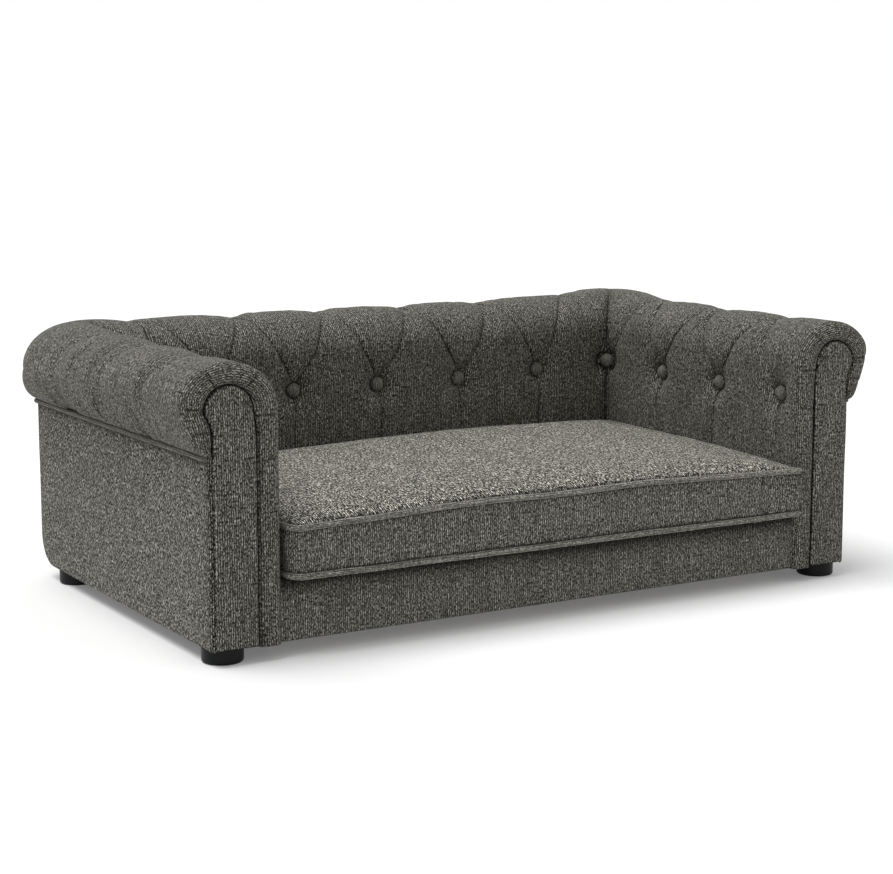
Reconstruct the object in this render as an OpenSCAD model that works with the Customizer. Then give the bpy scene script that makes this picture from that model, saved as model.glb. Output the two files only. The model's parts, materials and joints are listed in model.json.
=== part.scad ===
// Tufted dog sofa: rolled arms and back round a loose box cushion, on four low feet.
// Millimetres. X runs across the sofa, Y from front to back and Z up from the floor.
// Modules are drawn with Y = 0 at the arm fronts, and placed() moves them so that the origin
// is on the floor, at the middle of the sofa's footprint.

/* [Body] */
// Width over the two outer side panels
body_w = 840; // [760:5:920]
// Depth from the arm fronts to the outer back panel
body_d = 505; // [450:5:570]
// Height of the roll's crest above the floor
crest_z = 312; // [290:2:350]
// Height of the fabric's lower edge above the floor
base_z = 16; // [12:1:22]
// Height of the deck that the cushion lies on
deck_z = 82; // [74:1:92]
// Radius of the lower rear edge
heel_r = 36; // [28:1:42]

/* [Arms and back] */
// Thickness of an arm, from its inner face to the side panel
arm_t = 80; // [74:1:94]
// Thickness of the back, from its inner face to the back panel
back_t = 111; // [100:1:125]
// How far the roll stands out over a side panel
side_overhang = 34; // [30:1:40]
// How far the roll stands out over the back panel
back_overhang = 28; // [20:1:36]
// Rise of the roll from its widest level to its crest
roll_rise = 50; // [42:1:58]
// Drop from the roll's widest level to the seam under it
under_drop = 44; // [36:1:50]
// Radius of the roll's underside
under_r = 40; // [40:1:50]
// Plan radius of the roll's outer corner
corner_out_r = 96; // [70:2:110]
// Plan radius of the inner corner
corner_in_r = 8; // [6:1:12]
// Plan radius of the seam at the outer corner
corner_seam_r = 8; // [6:1:12]
// Radius of the roll's front edge
edge_r = 16; // [12:1:18]

/* [Upholstery] */
// Thickness of the cover with its wadding
cover_t = 20; // [18.5:0.5:24]
// Thickness of the foam behind it
foam_t = 10; // [7:1:14]
// Thickness of the outer fabric panels with their wadding
panel_t = 3; // [2:0.5:4]
// Thickness of plain fabric
cloth_t = 1.5; // [1:0.1:2]
// Diameter of the welt under the roll
welt_d = 3.6; // [3:0.2:5]
// Setback of the front rail's cover behind the arm fronts
rail_setback = 7; // [4:1:9]

/* [Tufting] */
// Distance of the button row below the roll's widest level
button_drop = 37; // [30:1:44]
// Diameter of a button
button_d = 18; // [15:0.5:21]
// Height of a button's dome
button_h = 6.5; // [5:0.5:8]
// Spacing of the buttons on the back
back_pitch = 119; // [104:1:126]
// Spacing of the buttons on an arm
arm_pitch = 118.5; // [100:0.5:126]
// Distance from the arm front to its first button
front_button = 43; // [38:1:50]
// Depth of the dimple under a button
dimple = 16; // [10:0.5:17]
// Depth of the folds where they cross the crest
valley = 7; // [4:0.5:9]
// Depth of the fold that drops from each button
low_fold = 3; // [1:0.5:5]
// Depth of the mitre at the corners
mitre_fold = 4; // [2:0.5:6]
// Diameter of the button twine
twine_d = 1.6; // [1.2:0.1:2]
// Diameter of the washer that holds each twine
washer_d = 14; // [12:1:18]
// Thickness of that washer
washer_t = 1.2; // [1:0.1:2]

/* [Facings] */
// Distance from the inner face to the facing at its foot
facing_in = 26; // [22:1:30]
// Distance from the inner face to the middle of the facing's head
facing_head = 57; // [50:1:62]
// Radius of the facing's head
facing_r = 28; // [24:1:32]
// Drawn-in depth of the facing's neck
facing_neck = 3; // [1:0.5:5]
// Thickness of a facing
facing_t = 6; // [4:0.5:8]

/* [Cushion] */
// Gap between the cushion and the arms and back
cushion_gap = 2.5; // [1.5:0.5:4]
// How far the cushion stands out in front of the arms
cushion_proud = 4; // [0:1:8]
// Thickness of the cushion at its corners
cushion_t = 58; // [48:1:66]
// Plan radius of the cushion's corners
cushion_r = 20; // [18:1:32]
// Rise of the top piping in the middle of the front and back
bow = 7; // [3:1:10]
// Rise of the cushion's crown above its piping
crown = 15; // [8:1:18]
// How far the boxing swells between the pipings
swell = 2.5; // [1:0.5:3]
// Diameter of the piping
piping_d = 6.8; // [5.6:0.2:8]
// Setback of the boxing behind the piping's outer line
boxing_setback = 3.6; // [3.2:0.1:4.2]
// Thickness of the cushion's cloth panels
panel_cloth_t = 3; // [2:0.5:4]
// Thickness of the cloth that laps over the zip tape
lap_t = 1; // [0.6:0.1:1.4]

/* [Zip] */
// Length of the zip in the cushion's rear boxing
zip_l = 460; // [380:10:520]
// Width of the zip tape
tape_w = 16; // [13:1:20]
// Thickness of the zip tape
tape_t = 1.2; // [1:0.1:1.6]
// Width of the zip's chain
chain_w = 5; // [4:0.2:6]
// How far the chain stands proud of the tape
chain_t = 0.7; // [0.5:0.1:0.9]
// Length of the slider
slider_l = 12; // [10:0.5:14]
// Width of the slider
slider_w = 9; // [7.5:0.5:10]
// Thickness of the slider's plate over the chain
slider_t = 1; // [0.8:0.1:1.2]
// Height of the slider's bridge
bridge_h = 1.8; // [1.6:0.1:2]
// Length of the pull tab
pull_l = 20; // [16:0.5:21]
// Thickness of the pull tab
pull_t = 0.9; // [0.6:0.1:1.1]

/* [Feet] */
// Diameter of a foot
foot_d = 44; // [38:1:48]
// Distance from the side panel to a foot's centre
foot_side = 23; // [22:1:28]
// Distance from the arm front to a front foot's centre
foot_front = 28; // [26:1:34]
// Distance from the back panel to a rear foot's centre
foot_rear = 60; // [56:1:70]
// Radius of a foot's lower edge
foot_edge = 3; // [2:0.5:4]
// Diameter of the foot screw
screw_d = 4.5; // [4:0.5:6]
// Length of the foot screw
screw_l = 27; // [23:1:29]
// Diameter of the foot screw's head
head_d = 9; // [8:0.5:10]

/* [Timber] */
// Thickness of the front posts
post_t = 15; // [12:1:18]
// Thickness of the side boards
side_board_t = 12; // [9:1:15]
// Thickness of the rails
rail_t = 18; // [15:1:22]
// Thickness of the bottom boards
bottom_t = 18; // [15:1:22]
// Thickness of the inner boards
board_t = 4; // [3:0.5:6]
// Thickness of the seat board
seat_t = 6; // [5:0.5:8]
// Thickness of the top rails
top_rail_t = 20; // [16:1:24]
// Thickness of the back board
back_board_t = 3.3; // [2.5:0.1:4]

/* [Hidden] */

fit = 0.3; // gap between pieces that lie together
over = 1; // overrun of a cut
mitre_gap = 0.2; // half of the gap at the corner mitre
core_corner_r = 1; // plan radius of the timber's inner corners behind the foam
core_out_r = 40; // plan radius of the timber's outer corners under the roll
foam_feather = 2; // foam left where it thins out at the seam
back_bays = 6; // bays between the buttons from corner to corner of the back
arm_bays = 3; // bays between the buttons of an arm, from the corner

inner_x = body_w / 2 - arm_t;
inner_y = body_d - back_t;
spring_z = crest_z - roll_rise;
seam_z = spring_z - under_drop;
button_z = spring_z - button_drop;
back_reach = back_t + back_overhang;
front_y = cushion_proud - (inner_y + back_reach + cushion_proud) / 2;

core_in = cover_t + foam_t + fit; // from an inner face to the inner board
core_out_gap = panel_t + 2 * fit; // from an outer panel's face to the timber behind it
core_top = spring_z - top_rail_t / 3;
facing_out = arm_t - panel_t - fit; // from the inner face to the facing's outer edge
rail_top = deck_z - seat_t - cloth_t;
stud_in = core_in + board_t;
wood_z = base_z + cloth_t;
post_back = facing_t + fit + post_t;
hem_w = rail_t / 2; // width of the back panel's hem under the bottom
button_land = button_d / 2 + 3 * fit; // half width of the flat under a button

// Rows of a section, from the foot of the inner face over the roll to the seam
quarter_rows = 5;
under_rows = 4;
mid_share = 0.5;
spring_rise_share = 0.3; // share of the tuft's height that lies below the roll's widest level
bay_shares = [0.2, 0.35, 0.5, 0.65, 0.8];

function lerp(a, b, t) = a + (b - a) * t;
function frac(s) = s - floor(s);

// Heights of the rows on the inner face, and the tuft height of each: -1 at the deck, 0 at a button
function face_heights(floor_z) = [
    floor_z,
    deck_z,
    lerp(deck_z, button_z - button_land, mid_share),
    button_z - button_land,
    button_z,
    button_z + button_land,
    lerp(button_z + button_land, spring_z, mid_share),
    spring_z
];
face_rows = len(face_heights(0));
function button_row(rows) = rows[search([button_z], [for (z = face_heights(0)) z])[0]];
row_count = face_rows + 2 * quarter_rows + under_rows;

function tuft_height(z) = z < button_z
    ? max(-1, (z - button_z) / (button_z - deck_z))
    : spring_rise_share * (z - button_z) / button_drop;

// One section, inset by d: rows of [outward, height, angle of the normal, plan radius, tuft height]
function section(t, overhang, d, floor_z) =
    let (
        reach = t + overhang,
        middle = reach / 2,
        under_x = reach - under_r,
        last = acos((under_r - overhang) / under_r)
    ) [
        for (z = face_heights(floor_z))
            [d, z, 180, lerp(corner_in_r, corner_out_r, d / reach), tuft_height(z)],
        for (k = [1 : quarter_rows])
            let (a = 180 - 90 * k / quarter_rows, o = middle + (middle - d) * cos(a))
            [o, spring_z + (roll_rise - d) * sin(a), a, lerp(corner_in_r, corner_out_r, o / reach),
                lerp(spring_rise_share, 1, k / quarter_rows)],
        for (k = [1 : quarter_rows])
            let (a = 90 - 90 * k / quarter_rows, o = middle + (middle - d) * cos(a))
            [o, spring_z + (roll_rise - d) * sin(a), a, lerp(corner_in_r, corner_out_r, o / reach),
                1 + 0.5 * k / quarter_rows],
        for (k = [1 : under_rows])
            let (a = -last * k / under_rows)
            [under_x + (under_r - d) * cos(a), spring_z + under_drop * sin(a) / sin(last), a,
                lerp(corner_out_r, corner_seam_r, k / under_rows), 1.5 + 0.5 * k / under_rows]
    ];
function arm_section(d, floor_z) = section(arm_t, side_overhang, d, floor_z);
function back_section(d, floor_z) = section(back_t, back_overhang, d, floor_z);

// The timber core's outline, on the same rows: up the inner board, over the top rail and down,
// inside the rows of the foam round it
function core_section(t, foam_rows, floor_z) =
    let (outer = t - core_out_gap, over_rows = 2 * quarter_rows) [
        for (z = face_heights(floor_z))
            let (share = (z - floor_z) / (spring_z - floor_z))
            [core_in, lerp(floor_z, core_top + fit, share), 180, core_corner_r, 0],
        for (k = [1 : over_rows])
            let (share = k / over_rows)
            [lerp(core_in, outer, share), core_top + fit, 90, lerp(core_corner_r, core_out_r, share), 0],
        for (k = [1 : under_rows])
            let (foam = foam_rows[face_rows + over_rows + k - 1][0] - foam_feather)
            [min(outer, foam), lerp(core_top + fit, seam_z, k / under_rows), 0, core_out_r, 0]
    ];

// The arm's front edge, drawn in by d, which fades out where the roll's underside meets the seam
function edge_section(d) =
    let (
        inset = arm_section(d, base_z),
        plain = arm_section(0, base_z),
        fade_from = row_count - 1 - under_rows
    ) [
        for (j = [0 : row_count - 1])
            lerp(inset[j], plain[j], pow(max(0, j - fade_from) / under_rows, 2))
    ];

// The facing's outline, on the same rows
function facing_section(d, floor_z) = [
        for (z = face_heights(floor_z))
            let (lift = max(0, (z - button_z) / button_drop))
            [facing_in + d + (facing_head - facing_r - facing_in) * lift * lift, z, 180, 0, 0],
        for (k = [1 : quarter_rows])
            let (a = 180 - 90 * k / quarter_rows)
            [facing_head + (facing_r - d) * cos(a), spring_z + (facing_r - d) * sin(a), a, 0, 0],
        for (k = [1 : quarter_rows])
            let (a = 90 - 90 * k / quarter_rows)
            [facing_head + (facing_r - d) * cos(a), spring_z + (facing_r - d) * sin(a), a, 0, 0],
        for (k = [1 : under_rows])
            let (share = k / under_rows, draw = facing_neck * sin(180 * min(1, share * 1.2)))
            [lerp(facing_head + facing_r, facing_out, sin(90 * share)) - d - draw,
                lerp(spring_z, seam_z, share), 0, 0, 0]
    ];

// Depth of the tufting: u runs from 0 to 1 across a cell between two folds
function cell(u) = 1 - sqrt(max(0, sin(180 * u)));
function folds(s, w) =
    let (f = frac(s), h = w / 2, column = f < h || f > 1 - h)
    w < 0 ? low_fold * (1 + w / 2) * cell(f)
    : w < 0.02 ? low_fold
    : w > 0.98 ? valley * pow(max(0, 2 - w), 1.2) * cell(frac(f + 0.5))
    : column ? valley * cell(f < h ? 0.5 + f / w : (f - 1 + h) / w)
    : valley * cell((f - h) / (1 - w));
function press(s, w, pitch) =
    let (
        f = min(frac(s), 1 - frac(s)),
        up = w < 0 ? w * (button_z - deck_z) : w * button_drop / spring_rise_share,
        far = norm([f * pitch, up]),
        inner = button_land * sqrt(2),
        outer = 4 * button_land
    ) dimple * pow(min(1, max(0, (outer - far) / (outer - inner))), 2);
function depth(s, w, pitch, last_button, mitre) =
    let (fold = abs(s) > last_button ? 0 : folds(s, w), ends = w <= -1 || w >= 2)
    ends ? 0 : max(fold, press(s, w, pitch), mitre ? mitre_fold * min(1, 2 - w) : 0);

// Point of an arm's row at button count s from the corner (0) to the front; a and b are the
// same row of the arm's and the back's section, and deep presses it into the padding
function arm_point(s, a, b, deep) =
    let (
        r = a[3],
        out = -deep * cos(a[2]),
        cy = inner_y + b[0] - r,
        cx = r - inner_x - a[0],
        first = front_button + (arm_bays - 1) * arm_pitch,
        quarter = r * PI / 4,
        d = max(s * (quarter + cy - first), mitre_gap),
        turn = 45 - d / r * 180 / PI
    )
    s >= 1 ? [-(inner_x + a[0] + out), first - (s - 1) * arm_pitch, a[1] - deep * sin(a[2])]
    : d < quarter ? [cx - (r + out) * cos(turn), cy + (r + out) * sin(turn),
        lerp(a[1], b[1], pow(sin(turn), 2)) - deep * sin(a[2])]
    : [-(inner_x + a[0] + out), cy - (d - quarter), a[1] - deep * sin(a[2])];

// Point of the back's row at button count s from the left corner (-3) to the right corner (3)
function back_point(s, a, b, deep) =
    let (
        half = back_bays / 2,
        side = s < 0 ? -1 : 1,
        r = a[3],
        out = -deep * cos(a[2]),
        cy = inner_y + b[0] - r,
        cx = inner_x + a[0] - r,
        last = (half - 1) * back_pitch,
        quarter = r * PI / 4,
        d = max((half - abs(s)) * (quarter + cx - last), mitre_gap),
        turn = 45 + d / r * 180 / PI
    )
    abs(s) <= half - 1 ? [s * back_pitch, inner_y + b[0] + out, b[1] - deep * sin(a[2])]
    : d < quarter ? [side * (cx + (r + out) * cos(turn)), cy + (r + out) * sin(turn),
        lerp(a[1], b[1], pow(sin(turn), 2)) - deep * sin(a[2])]
    : [side * (cx - (d - quarter)), inner_y + b[0] + out, b[1] - deep * sin(a[2])];

// Button counts of the stations between two buttons
function bay(from, pitch) = [
    from, from + button_land / pitch, for (f = bay_shares) from + f, from + 1 - button_land / pitch
];

// A padded skin between an outer and an inner set of stations, each with the same rows. The inner
// set has no more stations than the outer one; the first few, lead, pair off one to one.
module skin(outer, inner, lead = 0) {
    n = len(outer[0]);
    no = len(outer);
    ni = len(inner);
    base = no * n;
    points = concat([for (s = outer) each s], [for (s = inner) each s]);
    grid = function(count, start, flip) [
        for (i = [0 : count - 2]) for (j = [0 : n - 2])
            let (a = start + i * n + j, b = a + 1, c = a + n, d = c + 1)
            each flip ? [[a, b, d], [a, d, c]] : [[a, d, b], [a, c, d]]
    ];
    cap = function(o, i, flip) [
        for (j = [0 : n - 2])
            let (a = o + j, b = a + 1, c = i + j, d = c + 1)
            each flip ? [[a, c, d], [a, d, b]] : [[a, d, c], [a, b, d]]
    ];
    partner = function(i) i < lead ? i : lead + round((i - lead) * (ni - 1 - lead) / (no - 1 - lead));
    rim = function(j, flip) [
        for (i = [0 : no - 2])
            let (
                a = i * n + j,
                b = a + n,
                c = base + partner(i) * n + j,
                d = base + partner(i + 1) * n + j
            )
            each concat(
                c == d ? [] : [flip ? [a, c, d] : [a, d, c]],
                [flip ? [a, d, b] : [a, b, d]]
            )
    ];
    polyhedron(points, concat(
        grid(no, 0, true),
        grid(ni, base, false),
        cap(0, base, true),
        cap((no - 1) * n, base + (ni - 1) * n, false),
        rim(0, false),
        rim(n - 1, true)
    ), convexity = 6);
}

// The plain turn of a row round the corner, for inner surfaces: t from 0 at the arm to 1 at the mitre
turn_shares = [0, 0.35, 0.7, 1];
function arm_turn(t, a, b) =
    let (r = a[3], turn = min(45 * t, 45 - mitre_gap / r * 180 / PI))
    [r - inner_x - a[0] - r * cos(turn), inner_y + b[0] - r + r * sin(turn),
        lerp(a[1], b[1], pow(sin(turn), 2))];
function back_turn(t, a, b) =
    let (r = a[3], turn = max(90 - 45 * t, 45 + mitre_gap / r * 180 / PI))
    [r - inner_x - a[0] - r * cos(turn), inner_y + b[0] - r + r * sin(turn),
        lerp(a[1], b[1], pow(sin(turn), 2))];
function rows_at(y, rows) = [for (a = rows) [-(inner_x + a[0]), y, a[1]]];
function mirrored(stations) = [
    for (i = [len(stations) - 1 : -1 : 0]) [for (p = stations[i]) [-p[0], p[1], p[2]]]
];

module timber(x0, x1, y0, y1, z0, z1) {
    color("burlywood") translate([x0, y0, z0]) cube([x1 - x0, y1 - y0, z1 - z0]);
}
module right_side() mirror([1, 0, 0]) children();
module placed() translate([0, front_y, 0]) children();

// The places of the buttons: [x, y, direction of the twine]
arm_button_ys = [for (k = [0 : arm_bays - 1]) front_button + k * arm_pitch];
back_button_xs = [for (k = [-back_bays / 2 + 1 : back_bays / 2 - 1]) k * back_pitch];
corner_in = corner_in_r * (1 - sin(45)); // how far the corner's fillet stands into the seat
function corner_point(s) =
    arm_point(s, button_row(arm_section(0, 0)), button_row(back_section(0, 0)), dimple);
corner_side = corner_point(button_land / arm_pitch) - corner_point(0);
corner_slope = (corner_side[0] - corner_side[1]) / -(corner_side[0] + corner_side[1]);
corner_rise = corner_slope * button_d / 2; // rise of the dish at the rim of the button
corner_set = (dimple - corner_rise) * sin(45) - corner_in;

module at_arm_button(y) translate([-inner_x - dimple, y, button_z]) rotate([0, 90, 0]) children();
module at_back_button(x) translate([x, inner_y + dimple, button_z]) rotate([90, 0, 0]) children();
module at_corner_button()
    translate([-inner_x - corner_set, inner_y + corner_set, button_z])
        rotate([0, 0, -45]) rotate([0, 90, 0]) children();

twine_hole_d = twine_d + 2 * fit;
twine_l = core_in + board_t + 4 * washer_t;
module twine_hole()
    translate([0, 0, -twine_l]) cylinder(d = twine_hole_d, h = twine_l + button_h, $fn = 16);
module arm_twine_holes() {
    for (y = arm_button_ys) at_arm_button(y) twine_hole();
    at_corner_button() twine_hole();
}
module back_twine_holes() {
    for (x = back_button_xs) at_back_button(x) twine_hole();
    at_corner_button() twine_hole();
    right_side() at_corner_button() twine_hole();
}

// Padded covers
module arm_cover() {
    zero = arm_section(0, base_z);
    zero_back = back_section(0, base_z);
    inset = arm_section(cover_t, base_z);
    inset_back = back_section(cover_t, base_z);
    mouth = facing_section(-2 * fit, base_z);
    counts = [
        arm_bays + (front_button - edge_r) / arm_pitch,
        arm_bays + button_land / arm_pitch,
        arm_bays,
        for (k = [arm_bays - 1 : -1 : 0])
            let (b = bay(k, arm_pitch)) each [for (i = [len(b) - 1 : -1 : 0]) b[i]]
    ];
    outer = [
        for (t = [90, 60, 30]) rows_at(edge_r * (1 - sin(t)), edge_section(edge_r * (1 - cos(t)))),
        for (s = counts) [
            for (j = [0 : row_count - 1])
                arm_point(s, zero[j], zero_back[j], depth(s, zero[j][4], arm_pitch, arm_bays, s == 0))
        ]
    ];
    inner = [
        rows_at(0, mouth),
        rows_at(facing_t, mouth),
        rows_at(post_back, inset),
        for (t = turn_shares) [for (j = [0 : row_count - 1]) arm_turn(t, inset[j], inset_back[j])]
    ];
    color("dimgray") difference() {
        skin(outer, inner, 2);
        translate([-inner_x - core_in - over, post_back + fit / 2, base_z - over])
            cube([core_in + 2 * over + corner_in_r, inner_y + back_t, rail_top - base_z + over]);
        arm_twine_holes();
    }
}
module arm_cover_left() arm_cover();
module arm_cover_right() right_side() arm_cover();

module back_cover() {
    zero = arm_section(0, rail_top);
    zero_back = back_section(0, rail_top);
    inset = arm_section(cover_t, rail_top);
    inset_back = back_section(cover_t, rail_top);
    half = back_bays / 2;
    counts = [for (k = [-half : half - 1]) each bay(k, back_pitch), half];
    outer = [
        for (s = counts) [
            for (j = [0 : row_count - 1])
                back_point(s, zero[j], zero_back[j],
                    depth(s, zero[j][4], back_pitch, half, abs(s) == half))
        ]
    ];
    turned = [
        for (i = [len(turn_shares) - 1 : -1 : 0])
            [for (j = [0 : row_count - 1]) back_turn(turn_shares[i], inset[j], inset_back[j])]
    ];
    color("dimgray") difference() {
        skin(outer, concat(turned, mirrored(turned)));
        back_twine_holes();
    }
}

// Foam between the covers and the timber
module arm_foam() {
    rows = arm_section(cover_t + fit, rail_top);
    rows_back = back_section(cover_t + fit, rail_top);
    core = core_section(arm_t, rows, rail_top);
    core_back = core_section(back_t, rows_back, rail_top);
    color("khaki") difference() {
        skin(
            [
                rows_at(post_back + 2 * fit, rows),
                for (t = turn_shares) [for (j = [0 : row_count - 1]) arm_turn(t, rows[j], rows_back[j])]
            ],
            [
                rows_at(post_back + 2 * fit, core),
                for (t = turn_shares) [for (j = [0 : row_count - 1]) arm_turn(t, core[j], core_back[j])]
            ]
        );
        arm_twine_holes();
    }
}
module arm_foam_left() arm_foam();
module arm_foam_right() right_side() arm_foam();

module back_foam() {
    rows = arm_section(cover_t + fit, rail_top);
    rows_back = back_section(cover_t + fit, rail_top);
    core = core_section(arm_t, rows, rail_top);
    core_back = core_section(back_t, rows_back, rail_top);
    turned = function(a, b) [
        for (i = [len(turn_shares) - 1 : -1 : 0])
            [for (j = [0 : row_count - 1]) back_turn(turn_shares[i], a[j], b[j])]
    ];
    color("khaki") difference() {
        skin(
            concat(turned(rows, rows_back), mirrored(turned(rows, rows_back))),
            concat(turned(core, core_back), mirrored(turned(core, core_back)))
        );
        back_twine_holes();
    }
}

module front_rail_pad() {
    color("khaki")
        translate([-inner_x + fit, rail_setback + cloth_t, wood_z])
            cube([2 * (inner_x - fit), post_back - rail_setback - cloth_t, rail_top - wood_z]);
}

// Outer fabric panels
module side_outline(grow) {
    r = heel_r - grow;
    y0 = fit;
    y1 = body_d - grow;
    z0 = base_z + grow;
    union() {
        translate([y0, z0]) square([y1 - r - y0, seam_z - fit - z0]);
        translate([y0, z0 + r]) square([y1 - y0, seam_z - fit - z0 - r]);
        translate([y1 - r, z0 + r]) circle(r, $fn = 64);
    }
}
module upright_panel(x, t) {
    translate([x, 0, 0]) rotate([90, 0, 90]) linear_extrude(t) children();
}
module side_panel() {
    color("dimgray") upright_panel(-body_w / 2, panel_t) side_outline(0);
}
module side_panel_left() side_panel();
module side_panel_right() right_side() side_panel();

module heel(r) {
    translate([body_d - heel_r, base_z + heel_r]) intersection() {
        circle(r, $fn = 64);
        translate([0, -r]) square([r, r]);
    }
}
module back_panel() {
    inside = body_w / 2 - panel_t - fit;
    color("dimgray") upright_panel(-inside, 2 * inside) {
        difference() {
            heel(heel_r);
            heel(heel_r - panel_t);
        }
        translate([body_d - heel_r - hem_w, base_z]) square([hem_w, cloth_t - fit]);
        translate([body_d - panel_t, base_z + heel_r]) square([panel_t, seam_z - fit - base_z - heel_r]);
    }
}

module front_rail_cover() {
    color("dimgray") upright_panel(-inner_x + fit, 2 * (inner_x - fit)) difference() {
        translate([rail_setback, base_z]) square([post_back + rail_t - rail_setback, deck_z - base_z]);
        translate([rail_setback + cloth_t, wood_z])
            square([post_back + rail_t, deck_z - cloth_t - wood_z]);
    }
}
// Plan of the deck between the covers, its rear corners rounded clear of theirs
module deck_plan(y0) {
    r = 2 * corner_in_r;
    x = inner_x - r;
    y = inner_y - r;
    translate([fit - inner_x, y0]) square([2 * (inner_x - fit), y - y0]);
    translate([-x, y0]) square([2 * x, inner_y - fit - y0]);
    for (s = [-1, 1]) translate([s * x, y]) circle(r - fit, $fn = 48);
}
module deck_cloth() {
    color("darkslategray") translate([0, 0, deck_z - cloth_t])
        linear_extrude(cloth_t) deck_plan(post_back + rail_t + fit);
}
module dust_sheet() {
    outside = body_w / 2 - panel_t - fit;
    y0 = post_back + rail_t + fit;
    y1 = body_d - heel_r - hem_w - fit;
    translate([-outside, y0]) square([2 * outside, y1 - y0]);
    for (side = [0, 1]) mirror([side, 0, 0]) {
        translate([-outside, post_back + fit]) square([outside - inner_x - fit, y1 - post_back]);
        translate([-outside, facing_t + fit]) square([outside - inner_x - facing_in, post_t + fit]);
    }
}
module dust_cover() {
    color("black") translate([0, 0, base_z]) linear_extrude(cloth_t - fit) difference() {
        dust_sheet();
        for (side = [0, 1]) mirror([side, 0, 0])
            for (y = [foot_front, body_d - foot_rear])
                translate([-foot_x, y]) circle(d = screw_d + 2 * fit, $fn = 24);
    }
}

// Facings: the shaped boards on the arm fronts
module facing_shape(d, foot_z) {
    polygon([
        for (a = facing_section(d, foot_z)) [-(inner_x + a[0]), a[1]],
        [-(inner_x + facing_out - d), foot_z]
    ]);
}
module facing() {
    shoulder = facing_t / 3;
    color("dimgray") rotate([90, 0, 0]) {
        translate([0, 0, -facing_t]) linear_extrude(facing_t - shoulder) facing_shape(0, base_z);
        translate([0, 0, -shoulder])
            linear_extrude(shoulder) facing_shape(shoulder / 2, base_z + shoulder / 2);
    }
}
module facing_left() facing();
module facing_right() right_side() facing();

// Welts under the roll
module welt(l) cylinder(d = welt_d, h = l, $fn = 24);
module side_welt() {
    color("gray") translate([-body_w / 2 - welt_d / 2 - fit, 2 * welt_d, seam_z - welt_d / 2 - fit])
        rotate([-90, 0, 0]) welt(body_d - 2 * welt_d);
}
module side_welt_left() side_welt();
module side_welt_right() right_side() side_welt();
module back_welt() {
    color("gray") translate([-body_w / 2, body_d + welt_d / 2 + fit, seam_z - welt_d / 2 - fit])
        rotate([0, 90, 0]) welt(body_w);
}

// Buttons, their twines and the washers behind the boards
module button() {
    color("dimgray") rotate_extrude($fn = 48) {
        r = button_d / 2;
        intersection() {
            translate([0, -(r * r - button_h * button_h) / (2 * button_h)])
                circle((r * r + button_h * button_h) / (2 * button_h), $fn = 96);
            translate([0, fit]) square([r, button_h]);
        }
    }
}
module twine() {
    color("white") translate([0, 0, fit / 2 - twine_l]) cylinder(d = twine_d, h = twine_l, $fn = 16);
}
module washer() {
    color("silver") translate([0, 0, -core_in - board_t + dimple - washer_t - fit / 3]) difference() {
        cylinder(d = washer_d, h = washer_t, $fn = 32);
        translate([0, 0, -over]) cylinder(d = twine_hole_d, h = washer_t + 2 * over, $fn = 24);
    }
}
module back_buttons() for (x = back_button_xs) at_back_button(x) button();
module arm_buttons() for (y = arm_button_ys) at_arm_button(y) button();
module arm_buttons_left() arm_buttons();
module arm_buttons_right() right_side() arm_buttons();
module corner_buttons() {
    at_corner_button() button();
    right_side() at_corner_button() button();
}
module each_button_place() {
    for (x = back_button_xs) at_back_button(x) children();
    for (y = arm_button_ys) {
        at_arm_button(y) children();
        right_side() at_arm_button(y) children();
    }
}
module button_twines() {
    each_button_place() twine();
    at_corner_button() twine();
    right_side() at_corner_button() twine();
}
module twine_washers() each_button_place() washer();

// Timber frame
module front_post() {
    color("burlywood") rotate([90, 0, 0]) translate([0, 0, -post_back])
        linear_extrude(post_t) facing_shape(fit, wood_z);
}
module front_post_left() front_post();
module front_post_right() right_side() front_post();

module side_board() {
    color("burlywood") upright_panel(-body_w / 2 + panel_t + fit, side_board_t) intersection() {
        side_outline(panel_t + fit);
        translate([post_back, 0]) square([body_d, crest_z]);
    }
}
module side_board_left() side_board();
module side_board_right() right_side() side_board();

stud_out = arm_t - panel_t - fit - side_board_t; // from the inner face to the side board
module bottom_board() {
    difference() {
        timber(-inner_x - stud_out, -inner_x - stud_in, post_back, body_d - heel_r,
            wood_z, wood_z + bottom_t);
        foot_places() translate([0, 0, base_z - over])
            cylinder(d = screw_d + fit, h = screw_l, $fn = 24);
    }
}
module bottom_board_left() bottom_board();
module bottom_board_right() right_side() bottom_board();

module front_rail()
    timber(-inner_x - core_in, inner_x + core_in, post_back + fit, post_back + rail_t, wood_z, rail_top);
module deck_rail()
    timber(-inner_x - core_in, inner_x + core_in, inner_y - rail_t - fit, inner_y - fit,
        wood_z, rail_top);
module rear_rail() {
    inside = inner_x + stud_out;
    color("burlywood") upright_panel(-inside, 2 * inside) {
        heel(heel_r - panel_t - fit);
        translate([body_d - panel_t - fit - rail_t, base_z + heel_r])
            square([rail_t, rail_top - base_z - heel_r]);
    }
}
slat_xs = [-inner_x / 2, 0, inner_x / 2];
module deck_slats() {
    for (x = slat_xs)
        timber(x - rail_t / 2, x + rail_t / 2, post_back + rail_t, inner_y - rail_t - fit,
            wood_z, rail_top);
}
module seat_board() {
    color("burlywood") translate([0, 0, rail_top])
        linear_extrude(seat_t) deck_plan(rail_setback + cloth_t + fit);
}
module arm_inner_board() {
    difference() {
        timber(-inner_x - stud_in, -inner_x - core_in, post_back, inner_y + stud_in, wood_z, core_top);
        arm_twine_holes();
    }
}
module arm_inner_board_left() arm_inner_board();
module arm_inner_board_right() right_side() arm_inner_board();
module back_inner_board() {
    difference() {
        timber(-inner_x - core_in, inner_x + core_in, inner_y + core_in, inner_y + stud_in,
            wood_z, core_top);
        back_twine_holes();
    }
}
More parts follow.
